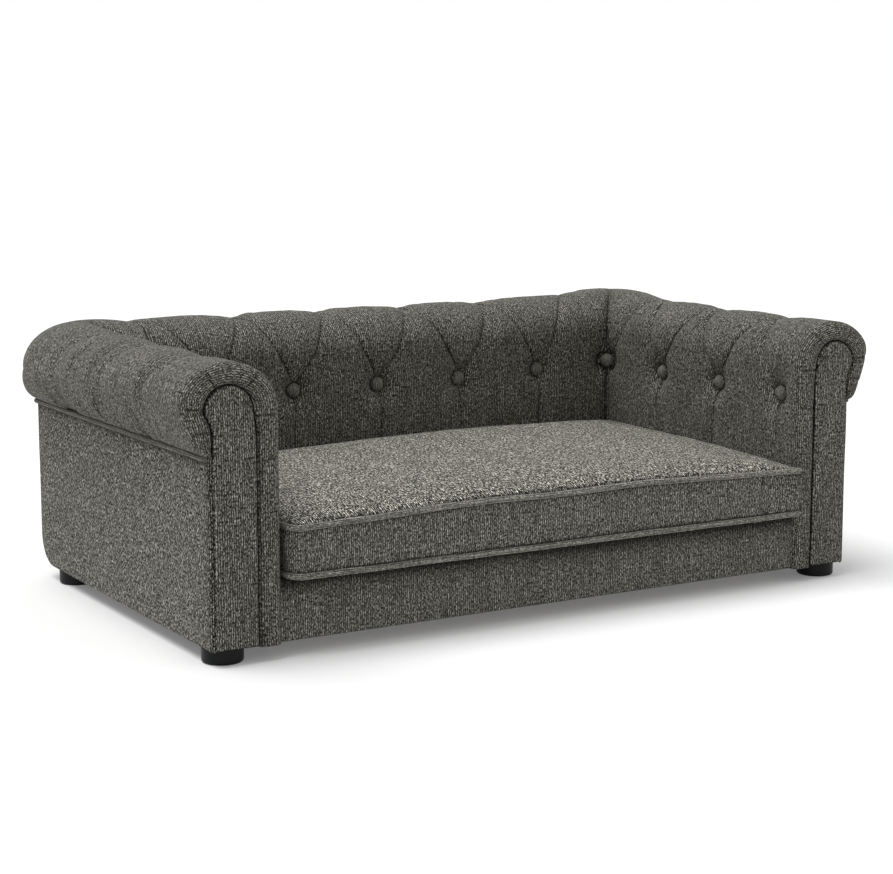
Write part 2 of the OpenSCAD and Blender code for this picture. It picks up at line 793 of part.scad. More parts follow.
module arm_top_rail() {
    x0 = -inner_x - arm_t + core_out_gap + fit;
    x1 = -inner_x - stud_in;
    y1 = inner_y + back_t - core_out_gap - fit;
    color("burlywood") translate([0, 0, core_top - top_rail_t]) linear_extrude(top_rail_t) {
        translate([x0, post_back]) square([x1 - x0, y1 - core_out_r - post_back]);
        translate([x0 + core_out_r, post_back]) square([x1 - x0 - core_out_r, y1 - post_back]);
        intersection() {
            translate([x0 + core_out_r, y1 - core_out_r]) circle(core_out_r, $fn = 96);
            translate([x0, y1 - core_out_r]) square([core_out_r, core_out_r]);
        }
    }
}
module arm_top_rail_left() arm_top_rail();
module arm_top_rail_right() right_side() arm_top_rail();
module back_top_rail() {
    timber(-inner_x - stud_in, inner_x + stud_in, inner_y + stud_in,
        inner_y + back_t - core_out_gap - fit, core_top - top_rail_t, core_top);
}
stud_ys = [front_button + arm_pitch / 2, front_button + 1.5 * arm_pitch];
module stud_pair() {
    for (y = stud_ys)
        timber(-inner_x - stud_out, -inner_x - stud_in, y - rail_t / 2, y + rail_t / 2,
            wood_z + bottom_t, core_top - top_rail_t);
}
module arm_studs() {
    stud_pair();
    right_side() stud_pair();
}
upright_y = body_d - heel_r;
module back_uprights() {
    for (x = [-1.5 * back_pitch, 1.5 * back_pitch])
        timber(x - rail_t / 2, x + rail_t / 2, inner_y + stud_in, upright_y,
            wood_z, core_top - top_rail_t);
    for (side = [0, 1]) mirror([side, 0, 0])
        timber(-inner_x - stud_out, -inner_x - stud_in, inner_y + stud_in + 2 * washer_d, upright_y,
            wood_z + bottom_t, core_top - top_rail_t);
}
module back_board() {
    inside = inner_x + stud_out;
    y1 = body_d - panel_t - fit;
    timber(-inside, inside, y1 - back_board_t, y1, rail_top, seam_z - fit);
}

// Feet, each held by one screw
module foot_places() {
    translate([-body_w / 2 + foot_side, foot_front, 0]) children();
    translate([-body_w / 2 + foot_side, body_d - foot_rear, 0]) children();
}
module foot(x, y) {
    r = foot_d / 2;
    head_r = head_d / 2;
    color([0.06, 0.06, 0.07]) translate([x, y, 0]) rotate_extrude($fn = 96) difference() {
        union() {
            translate([0, foot_edge]) square([r, base_z - foot_edge]);
            square([r - foot_edge, base_z]);
            translate([r - foot_edge, foot_edge]) circle(foot_edge, $fn = 32);
        }
        translate([-foot_d, -over]) square([foot_d + screw_d / 2 + fit / 2, base_z + 2 * over]);
        translate([0, -over]) square([head_r + fit, base_z / 2 + over]);
    }
}
foot_x = body_w / 2 - foot_side;
module foot_front_left() foot(-foot_x, foot_front);
module foot_front_right() foot(foot_x, foot_front);
module foot_rear_left() foot(-foot_x, body_d - foot_rear);
module foot_rear_right() foot(foot_x, body_d - foot_rear);
module foot_screw() {
    color("silver") translate([0, 0, base_z / 2 - head_d / 4]) {
        cylinder(d = head_d, h = head_d / 4 - fit / 3, $fn = 32);
        cylinder(d = screw_d, h = screw_l, $fn = 32);
    }
}
module foot_screws() {
    foot_places() foot_screw();
    right_side() foot_places() foot_screw();
}

// Cushion: stations round its outline, each [x, y, share round the side it lies on]
cushion_x = inner_x - cushion_gap;
cushion_y0 = -cushion_proud;
cushion_y1 = inner_y - cushion_gap - fit;
cushion_mid = (cushion_y0 + cushion_y1) / 2;
half_d = (cushion_y1 - cushion_y0) / 2;
long_steps = 12;
short_steps = 7;
turn_steps = 5;
function side_points(x0, y0, x1, y1, n) = [
    for (k = [0 : n - 1]) [lerp(x0, x1, k / n), lerp(y0, y1, k / n)]
];
function turn_points(x, y, r, from) = [
    for (k = [0 : turn_steps - 1])
        let (a = from + 90 * k / turn_steps)
        [x + r * cos(a), y + r * sin(a)]
];
function outline(d) =
    let (r = cushion_r - d, x = cushion_x - cushion_r, y = half_d - cushion_r, m = cushion_mid)
    concat(
        side_points(-x, m - y - r, x, m - y - r, long_steps),
        turn_points(x, m - y, r, -90),
        side_points(x + r, m - y, x + r, m + y, short_steps),
        turn_points(x, m + y, r, 0),
        side_points(x, m + y + r, -x, m + y + r, long_steps),
        turn_points(-x, m + y, r, 90),
        side_points(-x - r, m + y, -x - r, m - y, short_steps),
        turn_points(-x, m - y, r, 180)
    );
function rise(p) =
    let (u = abs(p[0]) / cushion_x, v = abs(p[1] - cushion_mid) / half_d)
    bow * (1 - pow(min(1, u), 2.5)) + bow / 3 * (1 - pow(min(1, v), 2.5)) * pow(min(1, u), 2);
piping_r = piping_d / 2;
top_line_z = deck_z + cushion_t - piping_r;
bottom_line_z = deck_z + piping_r + fit;
panel_inset = piping_d + fit;
panel_low = top_line_z - piping_r - panel_cloth_t;

// A ring of closed loops, each with the same number of points, swept into a solid torus
module ring(loops) {
    n = len(loops[0]);
    m = len(loops);
    polyhedron([for (l = loops) each l], [
        for (i = [0 : m - 1]) for (j = [0 : n - 1])
            let (
                from = i * n,
                to = ((i + 1) % m) * n,
                next = (j + 1) % n
            )
            each [[from + j, from + next, to + next], [from + j, to + next, to + j]]
    ], convexity = 6);
}
piping_sides = 8;
module cushion_piping_top() {
    mid = outline(piping_r);
    wide = outline(0);
    color("gray") ring([
        for (i = [0 : len(mid) - 1])
            let (out = (wide[i] - mid[i]) / norm(wide[i] - mid[i]), z = top_line_z + rise(mid[i]))
            [for (k = [0 : piping_sides - 1])
                let (a = -360 * k / piping_sides, r = piping_r * cos(a))
                [mid[i][0] + out[0] * r, mid[i][1] + out[1] * r, z + piping_r * sin(a)]]
    ]);
}
module cushion_piping_bottom() {
    x = cushion_x - cushion_r;
    y = half_d - cushion_r;
    r = cushion_r - piping_r;
    color("gray") translate([0, cushion_mid, bottom_line_z]) {
        for (sx = [0, 1]) for (sy = [0, 1]) mirror([sx, 0, 0]) mirror([0, sy, 0]) translate([x, y, 0])
            rotate_extrude(angle = 90, $fn = 64) translate([r, 0]) circle(piping_r, $fn = 24);
        for (s = [-1, 1]) {
            translate([-x, s * (y + r), 0]) rotate([0, 90, 0]) cylinder(r = piping_r, h = 2 * x, $fn = 24);
            translate([s * (x + r), -y, 0]) rotate([-90, 0, 0]) cylinder(r = piping_r, h = 2 * y, $fn = 24);
        }
    }
}
crown_shares = [1, 0.96, 0.88, 0.72, 0.5, 0.25];
module cushion_top() {
    edge = outline(panel_inset);
    m = len(edge);
    tops = [
        for (s = crown_shares)
            [for (p = edge)
                [p[0] * s, cushion_mid + (p[1] - cushion_mid) * s,
                    top_line_z + rise(p) * pow(s, 2) + bow * (1 - s * s) + crown * (1 - pow(s, 3))]]
    ];
    under = [for (p = edge) [p[0], p[1], panel_low]];
    points = concat([for (l = tops) each l], under,
        [[0, cushion_mid, top_line_z + bow + crown], [0, cushion_mid, panel_low]]);
    n = len(crown_shares);
    color("dimgray") polyhedron(points, concat(
        [for (i = [0 : n - 2]) for (j = [0 : m - 1])
            let (a = i * m + j, b = i * m + (j + 1) % m, c = a + m, d = b + m)
            each [[a, d, b], [a, c, d]]],
        [for (j = [0 : m - 1]) [(n - 1) * m + j, (n + 1) * m, (n - 1) * m + (j + 1) % m]],
        [for (j = [0 : m - 1]) let (a = j, b = (j + 1) % m, c = n * m + j, d = n * m + (j + 1) % m)
            each [[a, b, d], [a, d, c]]],
        [for (j = [0 : m - 1]) [n * m + j, n * m + (j + 1) % m, (n + 1) * m + 1]]
    ), convexity = 4);
}
boxing_shares = [0, 0.25, 0.5, 0.75, 1];
zip_mid = (bottom_line_z + top_line_z) / 2;
slot_w = slider_w + 4 * fit;
tape_y = cushion_y1 - boxing_setback - lap_t;
boxing_low = bottom_line_z + piping_r + fit;
module cushion_boxing() {
    outer = outline(boxing_setback);
    inner = outline(piping_d);
    color("dimgray") difference() {
        ring([
            for (i = [0 : len(outer) - 1])
                let (
                    away = (outer[i] - inner[i]) / norm(outer[i] - inner[i]),
                    high = top_line_z + rise(outer[i]) - piping_r - 2 * fit,
                    rear = outer[i][1] > cushion_y1 - cushion_r
                )
                [
                    for (s = boxing_shares)
                        let (out = rear ? 0 : swell * sin(180 * s), z = lerp(boxing_low, high, s))
                        [outer[i][0] + away[0] * out, outer[i][1] + away[1] * out, z],
                    [inner[i][0], inner[i][1], high],
                    [inner[i][0], inner[i][1], boxing_low]
                ]
        ]);
        translate([-zip_l / 2 - fit, cushion_y1 - cushion_r, zip_mid - slot_w / 2])
            cube([zip_l + 2 * fit, cushion_r + over, slot_w]);
        translate([-zip_l / 2 - lap_t, tape_y - cushion_r, zip_mid - tape_w / 2])
            cube([zip_l + 2 * lap_t, cushion_r, tape_w]);
    }
}
module plan(d) {
    r = cushion_r - d;
    x = cushion_x - cushion_r;
    y = half_d - cushion_r;
    square([2 * x, 2 * (y + r)], center = true);
    square([2 * (x + r), 2 * y], center = true);
    for (sx = [-1, 1]) for (sy = [-1, 1]) translate([sx * x, sy * y]) circle(r, $fn = 64);
}
module cushion_bottom() {
    color("dimgray") translate([0, cushion_mid, deck_z]) linear_extrude(panel_cloth_t) plan(panel_inset);
}
module cushion_foam() {
    low = deck_z + panel_cloth_t;
    color("khaki") translate([0, cushion_mid, low]) linear_extrude(panel_low - low) plan(panel_inset);
}

// Zip in the rear boxing
module zip_tape() {
    color("black") translate([-zip_l / 2 - lap_t, tape_y - tape_t, zip_mid - tape_w / 2])
        cube([zip_l + 2 * lap_t, tape_t, tape_w]);
}
module zip_chain() {
    color("dimgray") translate([-zip_l / 2 + slider_l / 2, tape_y, zip_mid - chain_w / 2])
        cube([zip_l - slider_l, chain_t, chain_w]);
}
zip_end = zip_l / 2 - slider_l;
module zip_slider() {
    lip = (slider_w - chain_w) / 2 - fit;
    y0 = tape_y + fit / 2;
    y1 = tape_y + chain_t + fit / 2;
    color("silver") translate([-zip_end, 0, zip_mid]) difference() {
        translate([-slider_l / 2, y0, -slider_w / 2]) cube([slider_l, y1 + slider_t - y0, slider_w]);
        translate([-slider_l / 2 - over, y0 - over, -slider_w / 2 + lip])
            cube([slider_l + 2 * over, y1 - y0 + over, slider_w - 2 * lip]);
    }
    color("silver") translate([-zip_end, y1 + slider_t, zip_mid]) difference() {
        translate([-slider_l / 4, 0, -slider_w / 4]) cube([slider_l / 2, bridge_h, slider_w / 2]);
        translate([-slider_l / 4 - over, -over, -slider_w / 4 + slider_t])
            cube([
                slider_l / 2 + 2 * over,
                over + pull_t + fit,
                slider_w / 2 - 2 * slider_t
            ]);
    }
}
module zip_pull() {
    y = tape_y + chain_t + slider_t + fit;
    eye = slider_l / 2 + 2 * fit;
    eye_h = slider_t + 2 * fit;
    top = zip_mid - slider_w / 4 + slider_t + eye_h;
    color("silver") translate([-zip_end, y, 0]) difference() {
        translate([-eye / 2 - slider_t, 0, top - pull_l])
            cube([eye + 2 * slider_t, pull_t, pull_l]);
        translate([-eye / 2, -over, zip_mid - slider_w / 4 - fit])
            cube([eye, pull_t + 2 * over, slider_t + 2 * fit]);
    }
}

placed() foot_front_left();
placed() foot_front_right();
placed() foot_rear_left();
placed() foot_rear_right();
placed() foot_screws();
placed() front_post_left();
placed() front_post_right();
placed() side_board_left();
placed() side_board_right();
placed() bottom_board_left();
placed() bottom_board_right();
placed() front_rail();
placed() deck_rail();
placed() rear_rail();
placed() deck_slats();
placed() seat_board();
placed() arm_inner_board_left();
placed() arm_inner_board_right();
placed() arm_top_rail_left();
placed() arm_top_rail_right();
placed() arm_studs();
placed() back_inner_board();
placed() back_top_rail();
placed() back_uprights();
placed() back_board();
placed() arm_foam_left();
placed() arm_foam_right();
placed() back_foam();
placed() front_rail_pad();
placed() arm_cover_left();
placed() arm_cover_right();
placed() back_cover();
placed() side_panel_left();
placed() side_panel_right();
placed() back_panel();
placed() front_rail_cover();
placed() deck_cloth();
placed() dust_cover();
placed() facing_left();
placed() facing_right();
placed() side_welt_left();
placed() side_welt_right();
placed() back_welt();
placed() back_buttons();
placed() arm_buttons_left();
placed() arm_buttons_right();
placed() corner_buttons();
placed() button_twines();
placed() twine_washers();
placed() cushion_foam();
placed() cushion_top();
placed() cushion_boxing();
placed() cushion_bottom();
placed() cushion_piping_top();
placed() cushion_piping_bottom();
placed() zip_tape();
placed() zip_chain();
placed() zip_slider();
placed() zip_pull();
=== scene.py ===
"""Looks of the tufted dog sofa: padded covers, facings, panels, cushion, piping, buttons and zip.

Metres, in the frame of the CAD model: X across the sofa, Y from its open front to its back, Z up.
"""
import json
import math

import bmesh
import bpy
import numpy as np
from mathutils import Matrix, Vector

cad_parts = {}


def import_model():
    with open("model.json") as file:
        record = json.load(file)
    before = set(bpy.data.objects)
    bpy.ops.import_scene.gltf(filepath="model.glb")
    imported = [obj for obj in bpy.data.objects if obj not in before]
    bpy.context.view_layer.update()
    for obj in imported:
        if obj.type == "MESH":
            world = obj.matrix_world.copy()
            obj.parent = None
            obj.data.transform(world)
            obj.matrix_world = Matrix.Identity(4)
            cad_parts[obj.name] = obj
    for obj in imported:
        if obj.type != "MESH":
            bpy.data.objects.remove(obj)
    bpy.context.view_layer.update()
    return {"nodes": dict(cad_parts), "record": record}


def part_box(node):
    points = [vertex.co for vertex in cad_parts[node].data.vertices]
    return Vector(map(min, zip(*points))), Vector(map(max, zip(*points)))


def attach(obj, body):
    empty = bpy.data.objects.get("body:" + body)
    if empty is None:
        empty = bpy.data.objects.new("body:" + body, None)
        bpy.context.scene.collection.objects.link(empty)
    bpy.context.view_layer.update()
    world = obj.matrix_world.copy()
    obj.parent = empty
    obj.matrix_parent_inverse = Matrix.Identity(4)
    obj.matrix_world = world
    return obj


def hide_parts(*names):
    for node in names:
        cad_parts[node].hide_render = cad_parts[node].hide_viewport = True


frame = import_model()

NODES = frame["nodes"]
MM = 0.001

# Sizes, as in the CAD model where it has them
SIDE_X = -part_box("side_panel_left")[0].x
FRONT_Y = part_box("arm_cover_left")[0].y
BACK_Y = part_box("back_panel")[1].y
BASE_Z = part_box("side_panel_left")[0].z
SEAM_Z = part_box("side_panel_left")[1].z
CREST_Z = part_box("back_cover")[1].z
DECK_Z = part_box("deck_cloth")[1].z
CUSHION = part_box("cushion_piping_top")
CUSHION_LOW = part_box("cushion_bottom")[0].z
ARM_T = 80 * MM
BACK_T = 111 * MM
SIDE_OVERHANG = 34 * MM
BACK_OVERHANG = 28 * MM
ROLL_RISE = 50 * MM
DRAWN_IN = 8.5 * MM
DRAWN_RISE = 24 * MM
REAR_FULL = 10 * MM
UNDER_R = 40 * MM
EDGE_R = 10 * MM
CORNER_IN_R = 8 * MM
CORNER_OUT_R = 96 * MM
CORNER_SEAM_R = 8 * MM
SPRING_Z = CREST_Z - ROLL_RISE
UNDER_DROP = SPRING_Z - SEAM_Z
INNER_X = SIDE_X - ARM_T
INNER_Y = BACK_Y - BACK_T
BUTTON_Z = SPRING_Z - 37 * MM
BUTTON_R = 9 * MM
BACK_PITCH = 119 * MM
ARM_PITCH = 118.5 * MM
FRONT_BUTTON = FRONT_Y + 43 * MM
BACK_BAYS = 6
ARM_BAYS = 3
DIMPLE = 10.6 * MM
BUTTON_SINK = 10.2 * MM
BACK_BUTTON_DROP = 6 * MM
NEAR_CORNER_DROP = 2 * MM
CORNER_BUTTON_LIFT = 4 * MM
LEFT_LIFT = 2.5 * MM
RIGHT_LIFT = 8.5 * MM
CORNER_SPAN = 110 * MM
BACK_SHIFT = -8 * MM
HEEL_R = 36 * MM
PIPING_R = 3.4 * MM
WELT_R = 3.2 * MM
WELT_OUT = 1.8 * MM
WELT_DROP = 2.4 * MM

# The photo's camera, as fitted to the sofa's straight edges
IMAGE_WIDTH = 893
FOCAL_PX = 2014.43
SENSOR = 36.0
CAMERA_AT = (-1.22767, -1.81949, 0.55115)
CAMERA_TURN = -30.7423
CAMERA_DIP = 8.9777


# Small helpers

NOISE_CELLS = 61
UP = Vector((0, 0, 1))
TINY = 1e-7


def lerp(a, b, t):
    return a + (b - a) * t


def smooth(x, low, high):
    """0 up to low, 1 from high on, and an eased step between them."""
    t = np.clip((np.asarray(x, float) - low) / (high - low), 0, 1)
    return t * t * (3 - 2 * t)


def noise(x, y, seed):
    """Smooth noise of about unit cell size, from -1 to 1."""
    grid = np.random.default_rng(seed).uniform(-1, 1, (NOISE_CELLS, NOISE_CELLS))
    i, j = np.floor(x).astype(int), np.floor(y).astype(int)
    u, v = smooth(x - i, 0, 1), smooth(y - j, 0, 1)
    i, j = i % NOISE_CELLS, j % NOISE_CELLS
    next_i, next_j = (i + 1) % NOISE_CELLS, (j + 1) % NOISE_CELLS
    low = lerp(grid[i, j], grid[next_i, j], u)
    high = lerp(grid[i, next_j], grid[next_i, next_j], u)
    return lerp(low, high, v)


def stacked(*parts):
    """Points from their coordinates; a number or a shorter array is repeated to fit the others."""
    return np.stack(np.broadcast_arrays(*parts), -1)


def run_along(points):
    """Length of the way from the first point to each of the others, along the first axis."""
    steps = np.linalg.norm(np.diff(points, axis=0), axis=-1)
    return np.concatenate([np.zeros_like(steps[:1]), np.cumsum(steps, 0)])


def linked(name, data):
    """A new object in the scene, at its origin."""
    obj = bpy.data.objects.new(name, data)
    bpy.context.scene.collection.objects.link(obj)
    return obj


def fresh_object(name, points, faces, uvs, marks=None):
    """A mesh object; uvs holds a pair for each point, marks how much painted shade darkens the cloth there.
    """
    mesh = bpy.data.meshes.new(name)
    mesh.from_pydata(np.reshape(points, (-1, 3)).tolist(), [], faces)
    index = np.empty(len(mesh.loops), int)
    mesh.loops.foreach_get("vertex_index", index)
    layer = mesh.uv_layers.new(name="grain")
    layer.data.foreach_set("uv", np.reshape(uvs, (-1, 2))[index].ravel())
    # The marks are painted shade, which the cloth's material reads
    if marks is not None:
        mesh.attributes.new("crease", "FLOAT", "POINT").data.foreach_set("value", np.ravel(marks))
    mesh.validate()
    for polygon in mesh.polygons:
        polygon.use_smooth = True
    return linked(name, mesh)


def grid_object(name, points, uvs, ring=False, flip=False, marks=None):
    """A quad sheet from an array of points [station, row, xyz]; ring joins the last station to the first."""
    stations, rows = points.shape[:2]
    i = np.arange(stations if ring else stations - 1)
    j = np.arange(rows - 1)
    a = (i[:, None] * rows + j).ravel()
    c = (((i + 1) % stations)[:, None] * rows + j).ravel()
    faces = np.stack([a, a + 1, c + 1, c], 1)
    if flip:
        faces = faces[:, ::-1]
    return fresh_object(name, points, faces.tolist(), uvs, marks)


def mended(obj, weld=0.0, close=False):
    """Turns a mesh's faces outwards, once close points are welded and open ends are closed."""
    work = bmesh.new()
    work.from_mesh(obj.data)
    if weld:
        bmesh.ops.remove_doubles(work, verts=work.verts, dist=weld)
    if close:
        bmesh.ops.holes_fill(work, edges=[e for e in work.edges if e.is_boundary], sides=0)
    bmesh.ops.recalc_face_normals(work, faces=work.faces)
    work.to_mesh(obj.data)
    work.free()
    return obj


def mirrored(name, source):
    """A copy of a piece on the other side of the sofa, with its faces turned outwards again."""
    mesh = source.data.copy()
    mesh.name = name
    points = np.empty(len(mesh.vertices) * 3)
    mesh.vertices.foreach_get("co", points)
    points[::3] *= -1
    mesh.vertices.foreach_set("co", points)
    mesh.flip_normals()
    return linked(name, mesh)


def dress(obj, body, nodes, material):
    """Gives a piece its material, if it has none, and its body, and hides the CAD nodes it stands for."""
    if not obj.data.materials:
        obj.data.materials.append(material)
    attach(obj, body)
    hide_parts(*nodes)


def dress_both(left, node, material):
    """Dresses a left piece of the sofa, which stands for a left node, and its mirror image."""
    right = mirrored(left.name.replace("left", "right"), left)
    dress(left, "sofa", [node], material)
    dress(right, "sofa", [node.replace("left", "right")], material)


# Materials

def node_tree(name):
    material = bpy.data.materials.new(name)
    material.use_nodes = True
    material.node_tree.nodes.clear()
    return material, material.node_tree


def add(tree, kind, inputs=None, **settings):
    """Adds a node and returns its outputs; an input is a value or another node's output."""
    node = tree.nodes.new(kind)
    for key, value in settings.items():
        setattr(node, key, value)
    for key, value in (inputs or {}).items():
        if isinstance(value, bpy.types.NodeSocket):
            tree.links.new(value, node.inputs[key])
        else:
            node.inputs[key].default_value = value
    return node.outputs


def surface(tree, inputs):
    """The shader, with its sockets set or linked, on the material's surface."""
    shader = add(tree, "ShaderNodeBsdfPrincipled", inputs)
    add(tree, "ShaderNodeOutputMaterial", {"Surface": shader["BSDF"]})


def ramp(tree, factor, stops):
    node = tree.nodes.new("ShaderNodeValToRGB")
    tree.links.new(factor, node.inputs["Fac"])
    elements = node.color_ramp.elements
    elements[0].position, elements[0].color = stops[0][0], (*stops[0][1], 1)
    elements[1].position, elements[1].color = stops[-1][0], (*stops[-1][1], 1)
    for position, colour in stops[1:-1]:
        elements.new(position).color = (*colour, 1)
    return node.outputs["Color"]


def combine(tree, operation, a, b):
    return add(tree, "ShaderNodeMath", {0: a, 1: b}, operation=operation)["Value"]


def rescaled(tree, value, low, high, start=0.0, end=1.0):
    """A pattern whose values from start to end are moved to low to high."""
    inputs = {"Value": value, "From Min": start, "From Max": end, "To Min": low, "To Max": high}
    return add(tree, "ShaderNodeMapRange", inputs)["Result"]


def bump(tree, height, strength, distance):
    inputs = {"Strength": strength, "Distance": distance, "Height": height}
    return add(tree, "ShaderNodeBump", inputs)["Normal"]


def solid_noise(tree, scale, detail, distortion=0.0):
    """Noise through the piece by its own coordinates, with so many spots to the metre along each axis."""
    spot = add(tree, "ShaderNodeTexCoord")["Object"]
    mapped = add(tree, "ShaderNodeMapping", {"Vector": spot, "Scale": scale})["Vector"]
    inputs = {"Vector": mapped, "Scale": 1.0, "Detail": detail, "Distortion": distortion}
    return add(tree, "ShaderNodeTexNoise", inputs)["Fac"]


def grain(tree, across, along):
    """The fabric's own coordinates, scaled: across its threads and along them."""
    uv = add(tree, "ShaderNodeUVMap", uv_map="grain")["UV"]
    return add(tree, "ShaderNodeMapping", {"Vector": uv, "Scale": (across, along, 1)})["Vector"]


def fabric_noise(tree, across, along, detail):
    """A pattern of soft spots, so many to the metre across the threads and along them."""
    return add(tree, "ShaderNodeTexNoise",
               {"Vector": grain(tree, across, along), "Scale": 1.0, "Detail": detail, "Roughness": 0.6},
               noise_dimensions="2D")["Fac"]


def shade(colour, k):
    return tuple(c * k for c in colour)


# The wave texture repeats every WAVE_PERIOD; the ribs waver RIB_WAVERS times to the metre
RIB = 2.5 * MM
WAVE_PERIOD = 0.1 * math.pi
RIB_WAVERS = 45

# Patterns in the cloth: spots to the metre across and along the threads, and detail
FINE = (860, 400, 0.0)
FLECK = (700, 190, 1.0)
LINE = (480, 28, 1.0)
CLOUD = (80, 9, 1.0)

NOISE_BAND = (0.3, 0.7)
# How dark painted shade makes the cloth where its mark is full
DARKEST_PAINTED_SHADE = 0.2
PALE_DUST = (0.75, 0.73, 0.68, 1)
WHITE = (1, 1, 1)


def chenille(name, colour, contrast):
    """Heathered chenille: short dark and pale flecks along the threads over a fine rib, darkened with painted
    shade where the piece's marks say.
    """
    material, tree = node_tree(name)
    rib = add(tree, "ShaderNodeTexWave",
              {"Vector": grain(tree, WAVE_PERIOD / RIB, RIB_WAVERS), "Scale": 1.0,
               "Distortion": 1.4, "Detail": 1.0, "Detail Scale": 1.0})["Fac"]
    fine, fleck, line, cloud = (fabric_noise(tree, *weave) for weave in (FINE, FLECK, LINE, CLOUD))
    base = ramp(tree, fine, [
        (0.34, shade(colour, 1 - 0.6 * contrast)),
        (0.50, colour),
        (0.66, shade(colour, 1 + 0.75 * contrast)),
    ])
    spots = ramp(tree, fleck, [
        (0.30, shade(WHITE, 1 - 0.6 * contrast)),
        (0.47, WHITE),
        (0.56, WHITE),
        (0.72, shade(WHITE, 1 + 0.55 * contrast)),
    ])
    flecked = add(tree, "ShaderNodeVectorMath", {0: base, 1: spots}, operation="MULTIPLY")["Vector"]
    # Painted shade: the piece's marks darken the cloth in creases, grooves, seams and under overhangs
    fold = add(tree, "ShaderNodeAttribute", attribute_name="crease")["Fac"]
    strength = rescaled(tree, rib, 1 - 0.5 * contrast, 1 + 0.5 * contrast)
    for pattern, low, high, band in ((line, 0.72, 1.28, NOISE_BAND), (cloud, 0.92, 1.08, NOISE_BAND),
                                     (fold, 1.0, DARKEST_PAINTED_SHADE, (0, 1))):
        strength = combine(tree, "MULTIPLY", strength, rescaled(tree, pattern, low, high, *band))
    height = add(tree, "ShaderNodeMix", {"Factor": 0.5, "A": fine, "B": rib}, data_type="FLOAT")["Result"]
    surface(tree, {
        "Base Color": add(tree, "ShaderNodeVectorMath", {0: flecked, "Scale": strength},
                          operation="SCALE")["Vector"],
        "Normal": bump(tree, height, 0.5, 0.5 * MM),
        "Roughness": 0.92,
        "Specular IOR Level": 0.12,
        "Sheen Weight": 0.08,
        "Sheen Roughness": 0.45,
        "Sheen Tint": PALE_DUST,
    })
    return material


def textured(name, pattern, tones, relief, rough):
    """A material with one pattern in its tones and in its relief; pattern adds it to a tree."""
    material, tree = node_tree(name)
    spots = pattern(tree)
    surface(tree, {
        "Base Color": ramp(tree, spots, tones),
        "Normal": bump(tree, spots, *relief),
        "Roughness": rough,
    })
    return material


def plain_cloth(name, colour, scale):
    """Plain woven or felted lining, tape or twine."""
    return textured(name, lambda tree: solid_noise(tree, (scale, scale, scale), 2.0),
                    tones=[(0.35, shade(colour, 0.6)), (0.65, shade(colour, 1.4))],
                    relief=(0.35, 0.4 * MM), rough=0.9)


def timber(name, light, dark, stretch):
    """Raw board: grain stretched along one axis."""
    return textured(name, lambda tree: solid_noise(tree, stretch, 5.0, 0.6),
                    tones=[(0.3, dark), (0.7, light)], relief=(0.2, 0.3 * MM), rough=0.65)


def cells(tree):
    spot = add(tree, "ShaderNodeTexCoord")["Object"]
    return add(tree, "ShaderNodeTexVoronoi", {"Vector": spot, "Scale": 700.0})["Distance"]


def foam(name, colour):
    """Open cells, darker in their middles."""
    return textured(name, cells, tones=[(0.0, shade(colour, 0.6)), (0.5, colour)],
                    relief=(0.4, 0.6 * MM), rough=0.95)


def plastic(name, colour, rough):
    """Moulded plastic with a faint texture and scuffs."""
    material, tree = node_tree(name)
    fine = solid_noise(tree, (1400, 1400, 1400), 2.0)
    worn = solid_noise(tree, (60, 60, 60), 4.0)
    surface(tree, {
        "Base Color": ramp(tree, worn, [(0.35, colour), (0.75, shade(colour, 1.5))]),
        "Roughness": rescaled(tree, worn, rough - 0.06, rough + 0.08),
        "Normal": bump(tree, fine, 0.12, 0.2 * MM),
        "Specular IOR Level": 0.15,
    })
    return material


def metal(name, colour, rough):
    """Brushed metal."""
    material, tree = node_tree(name)
    brushed = solid_noise(tree, (900, 900, 900), 3.0)
    surface(tree, {
        "Base Color": ramp(tree, brushed, [(0.3, shade(colour, 0.85)), (0.7, colour)]),
        "Roughness": rescaled(tree, brushed, rough - 0.08, rough + 0.08),
        "Metallic": 1.0,
    })
    return material


def repaint(node, material):
    """Gives a CAD piece that stays in the picture its material."""
    for material_slot in NODES[node].material_slots:
        material_slot.material = material


FABRIC = (0.114, 0.1108, 0.0962)
# One cloth all over: the panels, cushion, boxing, piping, buttons, welts and rail are lighter copies of the
# covers' cloth, painted light for how light falls on them
cover_fabric = chenille("cover_fabric", FABRIC, 1.25)
panel_fabric = chenille("panel_fabric", shade(FABRIC, 1.14), 1.65)
cushion_fabric = chenille("cushion_fabric", shade(FABRIC, 1.58), 1.75)
boxing_fabric = chenille("boxing_fabric", shade(FABRIC, 1.2), 1.2)
piping_fabric = chenille("piping_fabric", shade(FABRIC, 1.6), 0.85)
button_fabric = chenille("button_fabric", shade(FABRIC, 1.25), 0.5)
welt_fabric = chenille("welt_fabric", shade(FABRIC, 1.2), 0.6)
rail_fabric = chenille("rail_fabric", shade(FABRIC, 1.16), 1.15)
deck_fabric = plain_cloth("deck_fabric", (0.03, 0.03, 0.03), 900)
dust_fabric = plain_cloth("dust_fabric", (0.012, 0.012, 0.012), 400)
zip_nylon = plastic("zip_nylon", (0.025, 0.025, 0.025), 0.35)
